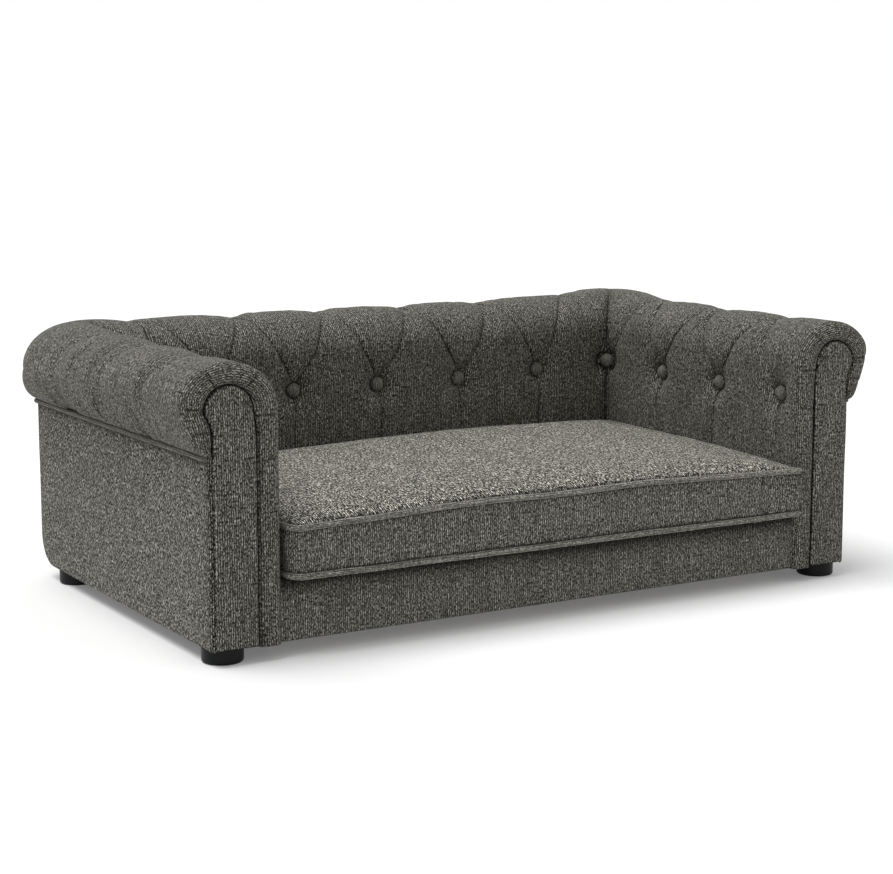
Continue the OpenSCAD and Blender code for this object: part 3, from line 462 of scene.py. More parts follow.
CAD_FINISH = {
    "foam": foam("foam", (0.72, 0.66, 0.5)),
    "plywood": timber("plywood", (0.62, 0.45, 0.28), (0.42, 0.27, 0.15), (60, 9, 9)),
    "softwood": timber("softwood", (0.68, 0.5, 0.31), (0.5, 0.33, 0.18), (6, 90, 90)),
    "foot_plastic": plastic("foot_plastic", (0.006, 0.0063, 0.007), 0.4),
    "steel": metal("steel", (0.55, 0.55, 0.55), 0.4),
    "twine": plain_cloth("twine", (0.6, 0.57, 0.5), 2500),
    "zip_tape": plain_cloth("zip_tape", (0.02, 0.02, 0.02), 1500),
    "zip_metal": metal("zip_metal", (0.6, 0.59, 0.57), 0.28),
}
for entry in frame["record"]["subparts"]:
    if entry["material_slot"] in CAD_FINISH:
        repaint(entry["node"], CAD_FINISH[entry["material_slot"]])
repaint("dust_cover", dust_fabric)


# The roll's section, as in the CAD model, with fine rows

ROW = 2.4 * MM
FACE_PLEATS = np.array([210, 256]) * MM
PLEAT_TURNS = (128, 62, 8, -34)
PLEAT_OFFSETS = np.array([-2.2, -1.2, -0.6, 0, 0.6, 1.2, 2.2]) * MM
SPRING_TUFT = 0.4
QUARTER = math.pi / 2


def spread(low, high, step, extra=()):
    """Evenly spaced values from low to high with extra ones between them, in order."""
    count = max(2, int(round(abs(high - low) / step)))
    inside = [e for e in extra if min(low, high) < e < max(low, high)]
    values = np.unique(np.concatenate([np.linspace(low, high, count + 1), inside]))
    return values if high > low else values[::-1]


class Rows:
    """One section: outward distance, height, normal, plan radius and tuft height of each row.

    The tuft height is -1 on the deck, 0 at the buttons, 1 on the crest and 2 at the seam under the roll.
    """

    def __init__(self, thick, overhang, low_z):
        reach = thick + overhang
        middle = reach / 2
        last = math.acos((UNDER_R - overhang) / UNDER_R)
        arm_last = math.acos((UNDER_R - SIDE_OVERHANG) / UNDER_R)
        pleats = [t + o / ROLL_RISE for t in np.radians(PLEAT_TURNS) for o in PLEAT_OFFSETS]
        face = spread(low_z, SPRING_Z, ROW, (FACE_PLEATS[:, None] + PLEAT_OFFSETS).ravel())
        inner = spread(math.pi, QUARTER, ROW / ROLL_RISE, pleats)[1:]
        outer = spread(QUARTER, 0, ROW / ROLL_RISE, pleats)[1:]
        under = -last * spread(0, 1, ROW / (UNDER_R * arm_last), [-t / arm_last for t in pleats])[1:]
        over = np.concatenate([inner, outer])
        self.turn = np.concatenate([np.full(len(face), math.pi), over, under])
        self.out = np.concatenate([
            np.zeros(len(face)), middle + middle * np.cos(over), reach - UNDER_R + UNDER_R * np.cos(under),
        ])
        self.z = np.concatenate([
            face, SPRING_Z + ROLL_RISE * np.sin(over), SPRING_Z + np.sin(under) / math.sin(last) * UNDER_DROP,
        ])
        fallen = np.clip((SPRING_Z + DRAWN_RISE - self.z) / (DRAWN_RISE + UNDER_DROP), 0, 1)
        self.drawn = np.where(self.turn < QUARTER, np.sin(math.pi * fallen ** 1.3), 0)
        self.out -= DRAWN_IN * self.drawn
        to_outer = lerp(CORNER_IN_R, CORNER_OUT_R, np.clip(self.out / reach, 0, 1))
        to_seam = lerp(CORNER_OUT_R, CORNER_SEAM_R, -under / last)
        self.radius = np.concatenate([to_outer[:-len(under)], to_seam])
        above = face - BUTTON_Z
        self.tuft = np.concatenate([
            np.where(above < 0, np.maximum(-1, above / (BUTTON_Z - DECK_Z)),
                     SPRING_TUFT * above / (SPRING_Z - BUTTON_Z)),
            lerp(SPRING_TUFT, 1.0, (math.pi - inner) / QUARTER),
            1 + 0.5 * (QUARTER - outer) / QUARTER,
            1.5 + 0.5 * -under / last,
        ])
        self.length = run_along(stacked(self.out, self.z)) + low_z
        self.button_length = float(np.interp(BUTTON_Z, face, self.length[:len(face)]))
        self.on_face = self.turn == math.pi
        self.normal_out = np.cos(self.turn)
        self.normal_z = np.sin(self.turn)

    def __len__(self):
        return len(self.z)


# Tufting

FOLD = 2.8 * MM
VALLEY = 6.5 * MM
CREASE = 1.9 * MM
CREASE_W = 1.1 * MM
LOW_FOLD = 1.3 * MM
SWAY = 2.5 * MM
SWAY_RUN = 22 * MM
LOW_REACH = 62 * MM
LOW_REACH_VARIES = 34 * MM
MITRE_FOLD = 6 * MM
MITRE_FOLD_W = 3.5 * MM
DISH_R = 44 * MM
DISH_PLEATS = 7
DISH_PLEAT_R = 17 * MM
DISH_SEED = 5
RING_W = 2.4 * MM
FOLD_EDGE = 0.055
FOLD_MEETING = 0.488
HALF_COLUMNS = 18
MIDDLE_COLUMNS = 24

# Strength of the creases and of their painted shade down the left and right leg of each button, and the
# button that has none
ARM_LEGS = (0.15, 1.0, 0)
BACK_LEGS = (0.85, 0.7, 3)


def fold_share(tuft):
    """Where the fold stands at this height, as a share of the bay from the button's line."""
    share = np.clip(tuft / 2, FOLD_EDGE, FOLD_MEETING)
    share = np.where(tuft > 1, lerp(FOLD_MEETING, 0.3, smooth(tuft, 1.3, 1.7)), share)
    return np.where(tuft < 0, lerp(FOLD_EDGE, 0.22, smooth(-tuft, 0, 0.5)), share)


def clustered(count):
    """Shares from 0 to 1 that lie closer together at both ends."""
    t = (np.arange(count) / count)[:, None]
    return lerp(t, 0.5 - 0.5 * np.cos(math.pi * t), 0.88)


def bay_columns(tuft):
    """Shares of the bay for every column at every height: [column, row]."""
    fold = fold_share(tuft)
    side = fold * clustered(HALF_COLUMNS)
    return np.concatenate([side, fold + (1 - 2 * fold) * clustered(MIDDLE_COLUMNS), 1 - fold + side])


def cell(share):
    """0 on the pillow's middle, 1 in the fold at either end."""
    return 1 - np.sqrt(np.clip(np.sin(math.pi * np.clip(share, 0, 1)), 0, 1))


def crease(gap):
    """A thin sharp line in the cloth, by the distance from it: 1 in the line, 0 away from it; used for
    creases and for painted shade.
    """
    return np.exp(-np.abs(gap) / CREASE_W)


def fold_depth(count, tuft, up, pitch, ends, legs):
    """Depth of the folds and the painted shade in their creases at a button count along the row and a tuft
    height.
    """
    left_leg, right_leg, plain = legs
    nearest = np.round(count)
    leg = np.where(count < nearest, left_leg, right_leg) * np.where(nearest == plain, 0, 1)
    f = count - np.floor(count)
    near = np.where(f < 0.5, f, 1 - f)

    # Between a button and the crest, the folds run up and apart to the middle of the bay
    w = np.clip(tuft, 1e-4, 1 - 1e-4)
    between = np.maximum(cell((f - w / 2) / (1 - w)), smooth(w, 0.72, 0.97))
    v_fold = lerp(FOLD, VALLEY, w) * np.where(near < w / 2, cell(0.5 + near / w), between)
    v_fold = v_fold * smooth(tuft, 0, 0.1)
    v_crease_shade = crease((near - w / 2) * pitch) * smooth(tuft, 0.02, 0.1) * (1 - 0.8 * smooth(tuft, 0.6, 1.0))

    # Over the roll there is one valley in the middle of the bay
    roll_fold = VALLEY * np.clip(2 - tuft, 0, 1) ** 1.2 * cell((f + 0.5) % 1)
    roll_crease_shade = 0.2 * crease((near - 0.5) * pitch) * (1 - smooth(tuft, 1.0, 1.4))

    # Under a button one crease hangs down and sways a little
    low_fold = LOW_FOLD * np.clip(1 + 0.8 * tuft, 0, 1) * smooth(-tuft, 0, 0.06)
    low_fold = low_fold * cell(np.clip(near * 1.8, 0, 0.5))
    sway = SWAY * np.sin(nearest * 2.3 + up / SWAY_RUN)
    aside = (count - nearest) * pitch + sway * smooth(-up, 9 * MM, 40 * MM)
    reach = LOW_REACH + LOW_REACH_VARIES * np.sin(nearest * 4.1 + left_leg)
    low_crease_shade = 0.8 * crease(aside) * smooth(-up, 4 * MM, 9 * MM) * (1 - smooth(-up, reach, reach + 20 * MM))

    depth = np.where(tuft < 0, low_fold, np.where(tuft < 1, v_fold, roll_fold))
    # The mark is painted shade along the creases
    mark = np.where(tuft < 0, low_crease_shade, np.where(tuft < 1, v_crease_shade, roll_crease_shade) * leg)
    past_end = np.abs(count) - ends
    keep = np.where(past_end > 0, np.where(tuft < 0, 1 - smooth(past_end, 0, 0.2), 0), 1)
    return depth * keep, mark * keep


def dish_depth(along, up):
    """Depth of the dish round a button, with the small pleats that the twine draws in."""
    far = np.hypot(along, up)
    angle = np.arctan2(up, along)
    bowl = np.clip((DISH_R - far) / (DISH_R - BUTTON_R), 0, 1)
    wobble = 4.0 * noise(np.cos(angle) * 1.5 + DISH_SEED * 3, np.sin(angle) * 1.5 + 7, DISH_SEED)
    pleats = np.sin(angle * DISH_PLEATS + wobble + DISH_SEED)
    pleats = pleats * np.exp(-((far - DISH_PLEAT_R) / (7 * MM)) ** 2)
    return DIMPLE * bowl ** 2.6 + 0.5 * MM * pleats * smooth(far, BUTTON_R, BUTTON_R * 1.5)


def tuft_depth(count, rows, pitch, ends, drop, mitre_run, legs, seed):
    """Depth and the mark of painted shade at every station and row, by the button count there; drop lowers
    each button.
    """
    tuft, length = rows.tuft, rows.length
    nearest = np.round(count)
    has_button = np.abs(nearest) <= ends
    along = (count - nearest) * pitch
    up = length - rows.button_length + drop(nearest)
    fold, mark = fold_depth(count, tuft, up, pitch, ends, legs)
    dish = np.where(has_button, dish_depth(along, up) * smooth(2 - tuft, 0.3, 1), 0)
    depth = (np.abs(fold) ** 3 + np.abs(dish) ** 3) ** (1 / 3)
    # Painted shade along the seam under the roll
    mark = np.maximum(mark, crease((length[-1] - length) / 1.6))
    # A dark ring of painted shade round each button
    ring = np.exp(-((np.hypot(along, up) - BUTTON_R) / RING_W) ** 2)
    mark = np.maximum(mark, np.where(has_button, 0.75 * ring, 0))

    # Looser cloth: broad waves, and streaks with ripples between them over the roll
    side = count * pitch
    soft = noise(side / (38 * MM) + seed, length / (46 * MM), seed)
    small = noise(side / (13 * MM), length / (30 * MM) + seed, seed + 1)
    streaks = noise(side / (10 * MM) + length / (110 * MM), length / (80 * MM), seed + 2)
    ripples = noise(side / (5 * MM) + length / (60 * MM), length / (50 * MM), seed + 3)
    over_roll = smooth(tuft, 0.85, 1.25)
    cloth = 0.6 * MM * soft + 0.25 * MM * small + over_roll * (1.7 * MM * streaks + 0.5 * MM * ripples)
    # The streaks over the roll get painted shade as well
    mark = np.maximum(mark, 0.5 * over_roll * smooth(streaks + 0.5 * ripples, 0.2, 1.0))
    return depth + CREASE * mark + cloth * smooth(mitre_run, 0, 30 * MM), mark


# Padded covers

FIRST_Y = FRONT_BUTTON + (ARM_BAYS - 1) * ARM_PITCH
HALF_BAYS = BACK_BAYS // 2
FIRST_X = (HALF_BAYS - 1) * BACK_PITCH
VALLEY_LEAN = 0.16
ARM_SEED = 11
BACK_SEED = 23


def corner_lift(run, z, lift):
    """The corner's pillow stands a little higher, by the run from the mitre and the height."""
    return lift * np.exp(-(run / CORNER_SPAN) ** 2) * smooth(z, BUTTON_Z, CREST_Z)


def arm_drop(nearest):
    return np.where(nearest == 0, -CORNER_BUTTON_LIFT, 0)


def back_drop(nearest):
    """The row of buttons hangs a little lower in the middle of the back."""
    far = np.abs(nearest)
    inside = np.where(far < 2, BACK_BUTTON_DROP, NEAR_CORNER_DROP)
    return np.where(far == HALF_BAYS, -CORNER_BUTTON_LIFT, inside)


def back_shift(count, tuft):
    """The tufts of the back stand a little to one side of the valleys over them."""
    return BACK_SHIFT * (1 - (count / HALF_BAYS) ** 2) * (1 - np.clip(tuft, 0, 1))


def wrapped(from_mitre, rows, other, radius, faces, first, pitch, full, depth, lift):
    """Places on a cover, as outward, along and up, by the count of buttons from its mitre.

    faces holds the places of its own and of the other cover's inner face, first that of the button
    next to the mitre, and full how much of the rear fullness there is.
    """
    out = REAR_FULL * rows.drawn * full - depth * rows.normal_out
    centre_out = faces[0] + rows.out - radius
    centre_along = faces[1] + other.out - radius
    quarter = radius * math.pi / 4
    run = from_mitre * (quarter + centre_along - first)
    turn = math.pi / 4 - np.minimum(run, quarter) / radius
    on_arc = (from_mitre < 1) & (run < quarter)
    straight = np.where(from_mitre < 1, centre_along - (run - quarter), first - (from_mitre - 1) * pitch)
    outward = centre_out + (radius + out) * np.where(on_arc, np.cos(turn), 1)
    along = np.where(on_arc, centre_along + (radius + out) * np.sin(turn), straight)
    z = lerp(rows.z, other.z, np.where(on_arc, np.sin(turn) ** 2, 0)) - depth * rows.normal_z
    return outward, along, z + corner_lift(run, z, lift)


def arm_points(count, rows, other, depth, lift):
    """Places on the left arm at button counts from the corner (0) towards the front."""
    lean = VALLEY_LEAN * smooth(rows.tuft, 0, 1)
    count = np.where(count < 1, count + 4 * lean * count * (1 - count), count)
    out, y, z = wrapped(count, rows, other, rows.radius, (INNER_X, INNER_Y), FIRST_Y, ARM_PITCH,
                        1 - smooth(count, 0.5, 2.3), depth, lift)
    return stacked(-out, y, z)


def back_points(count, rows, other, depth):
    """Places on the back at button counts from the left corner (-3) to the right one (3)."""
    lift = np.where(count < 0, LEFT_LIFT, RIGHT_LIFT)
    y, x, z = wrapped(HALF_BAYS - np.abs(count), rows, other, other.radius, (INNER_Y, INNER_X), FIRST_X,
                      BACK_PITCH, 1, depth, lift)
    return stacked(np.where(count < 0, -x, x) + back_shift(count, rows.tuft), y, z)


def mitre_fold(run, tuft, depth, mark):
    """Deepens the mitre and paints shade along it: sharp down the inner corner, gone on the roll's outside.
    """
    fade = 1 - smooth(tuft, 0.75, 1.15)
    deep = MITRE_FOLD * np.exp(-run / MITRE_FOLD_W) * fade
    return np.maximum(depth, deep), np.maximum(mark, crease(run) * fade)


FACING_IN = 26 * MM
FACING_HEAD = 57 * MM
FACING_R = 28 * MM
FACING_NECK = 3 * MM
FACING_OUT = ARM_T - 3.3 * MM
PLEAT_CUT = 2.2 * MM
PLEAT_STEP = 1.3 * MM
PLEAT_STEP_W = 7 * MM
# Painted shade on the band next to the groove: how dark, and how far it reaches
GROOVE_SHADE = 0.6
GROOVE_REACH = 4.5 * MM

# Millimetres that the cloth in the groove runs in under the facing and back from the front
GROOVE = ((2.2, 6.2), (1.0, 6.0), (0.2, 5.2), (0.0, 4.0))


def facing_outline(rows, inset):
    """The facing's outline on the rows of a section: outward distance and height."""
    turn = rows.turn
    lift = np.clip((rows.z - BUTTON_Z) / (SPRING_Z - BUTTON_Z), 0, 1)
    straight = FACING_IN + inset + (FACING_HEAD - FACING_R - FACING_IN) * lift ** 2
    head = FACING_HEAD + (FACING_R - inset) * np.cos(turn)
    share = np.clip(-turn / -turn.min(), 0, 1)
    draw = FACING_NECK * np.sin(math.pi * np.minimum(1, share * 1.2))
    neck = lerp(FACING_HEAD + FACING_R, FACING_OUT, np.sin(QUARTER * share)) - inset - draw
    out = np.where(rows.on_face, straight, np.where(turn < 0, neck, head))
    above = np.where(turn < 0, lerp(SPRING_Z, SEAM_Z, share), SPRING_Z + (FACING_R - inset) * np.sin(turn))
    return out, np.where(rows.on_face, rows.z, above)


def pleats_of(rows):
    """Depth of the pleats that cross the band round the facing, and their painted shade, by row."""
    depth, mark = np.zeros(len(rows)), np.zeros(len(rows))
    places = [np.interp(-math.radians(t), -rows.turn, rows.length) for t in PLEAT_TURNS]
    places += [np.interp(z, rows.z[rows.on_face], rows.length[rows.on_face]) for z in FACE_PLEATS]
    for place in places:
        gap = rows.length - place
        mark += crease(gap)
        depth += PLEAT_CUT * crease(gap) + PLEAT_STEP * np.exp(-np.abs(gap) / PLEAT_STEP_W) * (gap > 0)
    return depth, mark * np.where(rows.on_face, 0.55, 0.9)


def front_edge(rows):
    """The cover's front: out of the groove round the facing, over the band and round the arm's edge.

    Gives points, run of the cloth and marks of painted shade, each by station and row.
    """
    pleats, pleat_mark = pleats_of(rows)
    edge_r = EDGE_R * (1 - smooth(-rows.turn / -rows.turn.min(), 0.5, 1) * (rows.turn < 0))
    rim_out = rows.out - edge_r * rows.normal_out
    rim_z = rows.z - edge_r * rows.normal_z
    mouth_out, mouth_z = facing_outline(rows, 0)
    band_width = np.hypot(rim_out - mouth_out, rim_z - mouth_z)
    rim_run = EDGE_R * (1 - QUARTER)
    points, runs, marks = [], [], []
    for inset, fall in GROOVE:
        out, z = facing_outline(rows, inset * MM)
        points.append(stacked(-(INNER_X + out), FRONT_Y + fall * MM, z))
        runs.append(rim_run - band_width - fall * MM)
        # The groove is painted in full shade
        marks.append(np.ones(len(rows)))
    for share in np.linspace(1, 0, 15)[:-1]:
        dip = 2.6 * MM * share ** 10 + 0.8 * MM * share ** 2 + pleats * (1 - 0.5 * share ** 2)
        y = FRONT_Y + dip - 0.5 * MM * math.sin(math.pi * share)
        points.append(stacked(-(INNER_X + lerp(rim_out, mouth_out, share)), y, lerp(rim_z, mouth_z, share)))
        runs.append(rim_run - band_width * share)
        # Painted shade: the pleats, and a gradient over the band out from the groove
        marks.append(np.maximum(pleat_mark, GROOVE_SHADE * np.exp(-band_width * (1 - share) / GROOVE_REACH)))
    for angle in np.radians(np.linspace(90, 0, 12)[:-1]):
        dip = pleats * math.sin(angle) ** 2
        inward = edge_r * (1 - math.cos(angle)) + dip * math.cos(angle)
        y = FRONT_Y + EDGE_R * (1 - math.sin(angle)) + dip * math.sin(angle)
        points.append(stacked(-(INNER_X + rows.out - inward * rows.normal_out), y,
                              rows.z - inward * rows.normal_z))
        runs.append(np.full(len(rows), EDGE_R * (1 - angle)))
        # Painted shade of the pleats, fading round the edge
        marks.append(pleat_mark * math.sin(angle) ** 2)
    return np.array(points), np.array(runs), np.array(marks)


def arm_cover(name, lift):
    rows = Rows(ARM_T, SIDE_OVERHANG, BASE_Z)
    other = Rows(BACK_T, BACK_OVERHANG, BASE_Z)
    columns = bay_columns(rows.tuft)
    front_count = ARM_BAYS + (FRONT_BUTTON - FRONT_Y - EDGE_R) / ARM_PITCH
    lead = np.linspace(front_count, ARM_BAYS, 13)[:-1]
    counts = np.concatenate([
        np.repeat(lead[:, None], len(rows), 1),
        *[ARM_BAYS - bay - columns for bay in range(ARM_BAYS)],
        np.zeros((1, len(rows))),
    ])
    mitre_run = counts * (INNER_Y - FIRST_Y)
    depth, mark = tuft_depth(counts, rows, ARM_PITCH, ARM_BAYS, arm_drop, mitre_run, ARM_LEGS, ARM_SEED)
    edge = smooth(counts * ARM_PITCH, ARM_BAYS * ARM_PITCH + 8 * MM, front_count * ARM_PITCH)
    depth, mark = mitre_fold(mitre_run, rows.tuft, depth * (1 - edge), mark * (1 - edge))
    body_run = run_along(arm_points(counts, rows, other, 0 * depth, lift)) + EDGE_R
    front, front_run, front_mark = front_edge(rows)
    points = np.concatenate([front, arm_points(counts, rows, other, depth, lift)])
    uvs = stacked(np.concatenate([front_run, body_run]), rows.length)
    return grid_object(name, points, uvs, flip=True, marks=np.concatenate([front_mark, mark]))


def back_cover():
    low_z = DECK_Z - 7 * MM
    rows = Rows(BACK_T, BACK_OVERHANG, low_z)
    other = Rows(ARM_T, SIDE_OVERHANG, low_z)
    columns = bay_columns(rows.tuft)
    counts = np.concatenate([
        *[bay + columns for bay in range(-HALF_BAYS, HALF_BAYS)],
        np.full((1, len(rows)), float(HALF_BAYS)),
    ])
    mitre_run = (HALF_BAYS - np.abs(counts)) * (INNER_X - FIRST_X)
    depth, mark = tuft_depth(counts, rows, BACK_PITCH, HALF_BAYS, back_drop, mitre_run, BACK_LEGS, BACK_SEED)
    depth, mark = mitre_fold(mitre_run, rows.tuft, depth, mark)
    points = back_points(counts, rows, other, depth)
    run = run_along(back_points(counts, rows, other, 0 * depth))
    uvs = stacked(run - run[len(run) // 2], rows.length)
    return grid_object("back_cover_padded", points, uvs, flip=True, marks=mark)


arm_left = arm_cover("arm_cover_left_padded", LEFT_LIFT)
unturned = arm_cover("arm_cover_unturned", RIGHT_LIFT)
arm_right = mirrored("arm_cover_right_padded", unturned)
bpy.data.objects.remove(unturned)
for cover in (arm_left, arm_right, back_cover()):
    dress(cover, "sofa", [cover.name.replace("_padded", "")], cover_fabric)


# Facings on the arm fronts

# Millimetres inside the outline and back from the arm's front, from the groove to the flat
FACING_PROFILE = ((1.5, 6.1), (1.5, 5.0), (1.5, 3.6), (1.8, 2.2), (2.5, 1.0), (3.6, 0.3), (5.2, -0.2),
                  (8.0, -0.6), (12.0, -0.9), (18.0, -1.1))


def facing():
    rows = Rows(ARM_T, SIDE_OVERHANG, BASE_Z)
    keep = np.unique(np.concatenate([np.arange(0, len(rows), 2), [len(rows) - 1]]))
    side_heights = np.linspace(SEAM_Z, BASE_Z, 60)[1:]
    loops, planes, marks = [], [], []
    for inset_mm, y_mm in FACING_PROFILE:
        inset = inset_mm * MM
        out, z = facing_outline(rows, inset)
        foot = BASE_Z + inset
        across = np.linspace(FACING_OUT - inset, FACING_IN + inset, 15)[1:-1]
        loops.append(np.concatenate([
            stacked(out[keep], np.maximum(z[keep], foot)),
            stacked(FACING_OUT - inset, np.maximum(side_heights, foot)),
            stacked(across, foot),
        ]))
        planes.append(FRONT_Y + y_mm * MM)
        # Painted shade on the rows sunk back into the groove
        marks.append(float(smooth(y_mm, 1.2, 4.5)))

    # The middle closes on a spine that runs up the facing
    rim = loops[-1]
    spine_out = np.interp(rim[:, 1], [BASE_Z, SEAM_Z, SPRING_Z],
                          [(FACING_IN + FACING_OUT) / 2, FACING_HEAD - 3 * MM, FACING_HEAD])
    spine = stacked(spine_out, np.clip(rim[:, 1], BASE_Z + 24 * MM, SPRING_Z))
    loops += [lerp(rim, spine, 0.5), spine]
    planes += [lerp(planes[-1], FRONT_Y - 1.2 * MM, 0.5), FRONT_Y - 1.2 * MM]
    marks += [0.0, 0.0]
    uvs = np.array(loops).transpose(1, 0, 2)
    points = stacked(-(INNER_X + uvs[..., 0]), planes, uvs[..., 1])
    points[..., 1] += 0.35 * MM * noise(points[..., 0] / (16 * MM), points[..., 2] / (30 * MM), 31)
    marks = np.broadcast_to(marks, points.shape[:2])
    return grid_object("facing_left_padded", points, uvs, ring=True, flip=True, marks=marks)


dress_both(facing(), "facing_left", cover_fabric)


# Outer panels: fabric drawn over the boards, with soft edges

REAR_R = 2.5 * MM
BOTTOM_R = 3 * MM
TURN_R = 6 * MM
RAIL_TOP_R = 5 * MM
RAIL_LOW_R = 3 * MM
PANEL_TOP = SEAM_Z + 1 * MM
PANEL_WAVE = 0.5 * MM
HEEL_Y = BACK_Y - HEEL_R
HEEL_Z = BASE_Z + HEEL_R


def eased(distance, radius):
    """How far a rounded edge falls back at a distance from the edge."""
    t = np.clip(radius - distance, 0, radius)
    return radius - np.sqrt(np.maximum(radius ** 2 - t ** 2, 0))


def near_edges(low, high, count, edge):
    """Values from low to high, closer together within edge of both ends."""
    t = 0.5 - 0.5 * np.cos(np.linspace(0, math.pi, 13))
    middle = np.linspace(low + edge, high - edge, count)[1:-1]
    return np.concatenate([low + edge * t, middle, high - edge * t[::-1]])


def bend(y, z, radius, start, end, count):
    """Points (y, z) round a centre; the turn in degrees counts from straight down towards the back."""
    turn = np.radians(np.linspace(start, end, count))
    return stacked(y + radius * np.sin(turn), z - radius * np.cos(turn))


def painted_welt_shadow(z):
    """Painted shadow: the dark line that the welt throws on the panel under it."""
    return crease((z - (SEAM_Z - WELT_DROP - WELT_R - 0.6 * MM)) / 3)


def side_panel():
    z = near_edges(BASE_Z, PANEL_TOP, 70, 12 * MM)
    low = np.clip(HEEL_Z - z, 0, HEEL_R)
    rear = HEEL_Y + np.sqrt(np.maximum(HEEL_R ** 2 - low ** 2, 0))
    front = FRONT_Y + 1.5 * MM
    from_front = near_edges(0, 1, 110, 0.035)[:, None] * (rear - front)
    y = front + from_front
    in_heel = (y > HEEL_Y) & (z < HEEL_Z)
    angle = np.where(in_heel, np.arctan2(y - HEEL_Y, HEEL_Z - z), np.where(z < HEEL_Z, 0, QUARTER))
    radius = lerp(BOTTOM_R, REAR_R, np.clip(angle / QUARTER, 0, 1))
    heel_gap = HEEL_R - np.hypot(y - HEEL_Y, z - HEEL_Z)
    rear_fall = np.where(in_heel, eased(heel_gap, radius), eased(BACK_Y - y, REAR_R))
    bottom_fall = np.where(in_heel, 0, eased(z - BASE_Z, BOTTOM_R))
    fall = rear_fall + bottom_fall + eased(from_front, TURN_R) + eased(PANEL_TOP - z, 3 * MM)
    crown = 0.36 * MM * np.clip(from_front / (60 * MM), 0, 1) * np.clip((z - BASE_Z) / (30 * MM), 0, 1)
    waves = PANEL_WAVE * noise(y / (70 * MM), z / (60 * MM), 41)
    waves += 0.12 * MM * noise(y / (16 * MM), z / (40 * MM), 42)
    points = stacked(-(SIDE_X - fall + crown + waves * np.clip((z - BASE_Z) / (20 * MM), 0, 1)), y, z)
    # Painted shade along the panel's front edge, next to the facing
    front_edge_shade = np.maximum(0.7 * crease(from_front), 0.55 * np.exp(-from_front / (10 * MM)))
    marks = np.maximum(front_edge_shade, painted_welt_shadow(z))
    return grid_object("side_panel_left_padded", points, stacked(run_along(points), z), marks=marks)


def back_panel():
    path = np.concatenate([
        np.linspace((HEEL_Y - 9 * MM, BASE_Z), (HEEL_Y, BASE_Z), 6)[:-1],
        bend(HEEL_Y, HEEL_Z, HEEL_R, 0, 90, 24),
        np.linspace((BACK_Y, HEEL_Z), (BACK_Y, PANEL_TOP), 61)[1:],
    ])
    angle = np.concatenate([np.zeros(5), np.linspace(0, QUARTER, 24), np.full(60, QUARTER)])
    length = run_along(path)
    half = SIDE_X - 0.6 * MM - lerp(BOTTOM_R, REAR_R, angle / QUARTER)
    share = near_edges(-1, 1, 200, 0.02)[:, None]
    x = share * half
    waves = PANEL_WAVE * noise(x / (80 * MM), length / (60 * MM), 51) * np.clip(length / (40 * MM), 0, 1)
    fall = eased((1 - np.abs(share)) * half, 3 * MM) - waves
    z = path[:, 1] + fall * np.cos(angle)
    points = stacked(x, path[:, 0] - fall * np.sin(angle), z)
    # The welt's painted shadow falls on the back panel too
    return grid_object("back_panel_padded", points, stacked(run_along(points), length), marks=painted_welt_shadow(z))


def front_rail():
    low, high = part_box("front_rail_cover")
    front, top, rear = low.y, high.z, high.y
    rise_y, rise_z = front + RAIL_LOW_R, BASE_Z + RAIL_LOW_R
    path = np.concatenate([
        np.linspace((rear - 12 * MM, BASE_Z), (rise_y, BASE_Z), 6)[:-1],
        bend(rise_y, rise_z, RAIL_LOW_R, 0, -90, 7),
        np.linspace((front, rise_z), (front, top - RAIL_TOP_R), 31)[1:],
        bend(front + RAIL_TOP_R, top - RAIL_TOP_R, RAIL_TOP_R, -90, -180, 12)[1:],
        np.linspace((front + RAIL_TOP_R, top), (rear, top), 12)[1:],
    ])
    length = run_along(path)
    z = path[:, 1]
    half = INNER_X + 0.5 * MM
    x = np.linspace(-half, half, 260)[:, None]
    bulge = 0.8 * MM * np.sin(math.pi * np.clip((z - BASE_Z) / (top - BASE_Z), 0, 1)) ** 0.7
    waves = PANEL_WAVE * noise(x / (60 * MM), length / (40 * MM), 61)
    free = smooth(half - np.abs(x), 0, 8 * MM) * (path[:, 0] < front + RAIL_TOP_R)
    y = path[:, 0] - (bulge + waves) * free
    # Painted shadow of the cushion across the rail's top, uneven along it
    uneven = 1 + 0.2 * noise(x / (70 * MM), 0, 62)
    painted_cushion_shadow = np.minimum(1, 1.9 * uneven * np.exp((z - top) / (10 * MM)))
    return grid_object("front_rail_padded", stacked(x, y, z), stacked(x, length), flip=True, marks=painted_cushion_shadow)


dress_both(side_panel(), "side_panel_left", panel_fabric)
dress(back_panel(), "sofa", ["back_panel"], panel_fabric)
dress(front_rail(), "sofa", ["front_rail_cover"], rail_fabric)


# Cords: welts under the roll and the cushion's piping

CORD_STEP = 4 * MM


def tube(name, path, radius, closed=False, sides=14):
    """A round cord along a path of points: a closed ring, or a length with closed ends."""
    ahead = np.roll(path, -1, 0) - np.roll(path, 1, 0)
    if not closed:
        ahead[0], ahead[-1] = path[1] - path[0], path[-1] - path[-2]
    ahead /= np.linalg.norm(ahead, axis=1)[:, None]
    side = np.cross(ahead, UP)
    side /= np.linalg.norm(side, axis=1)[:, None]
    rise = np.cross(side, ahead)
    turns = np.linspace(0, 2 * math.pi, sides + 1)
    ring = side[:, None] * np.cos(turns)[:, None] + rise[:, None] * np.sin(turns)[:, None]
    points = path[:, None] + ring * np.broadcast_to(radius, len(path))[:, None, None]
    uvs = stacked(turns * np.mean(radius), run_along(path)[:, None])
    return mended(grid_object(name, points, uvs, ring=closed), TINY, not closed)


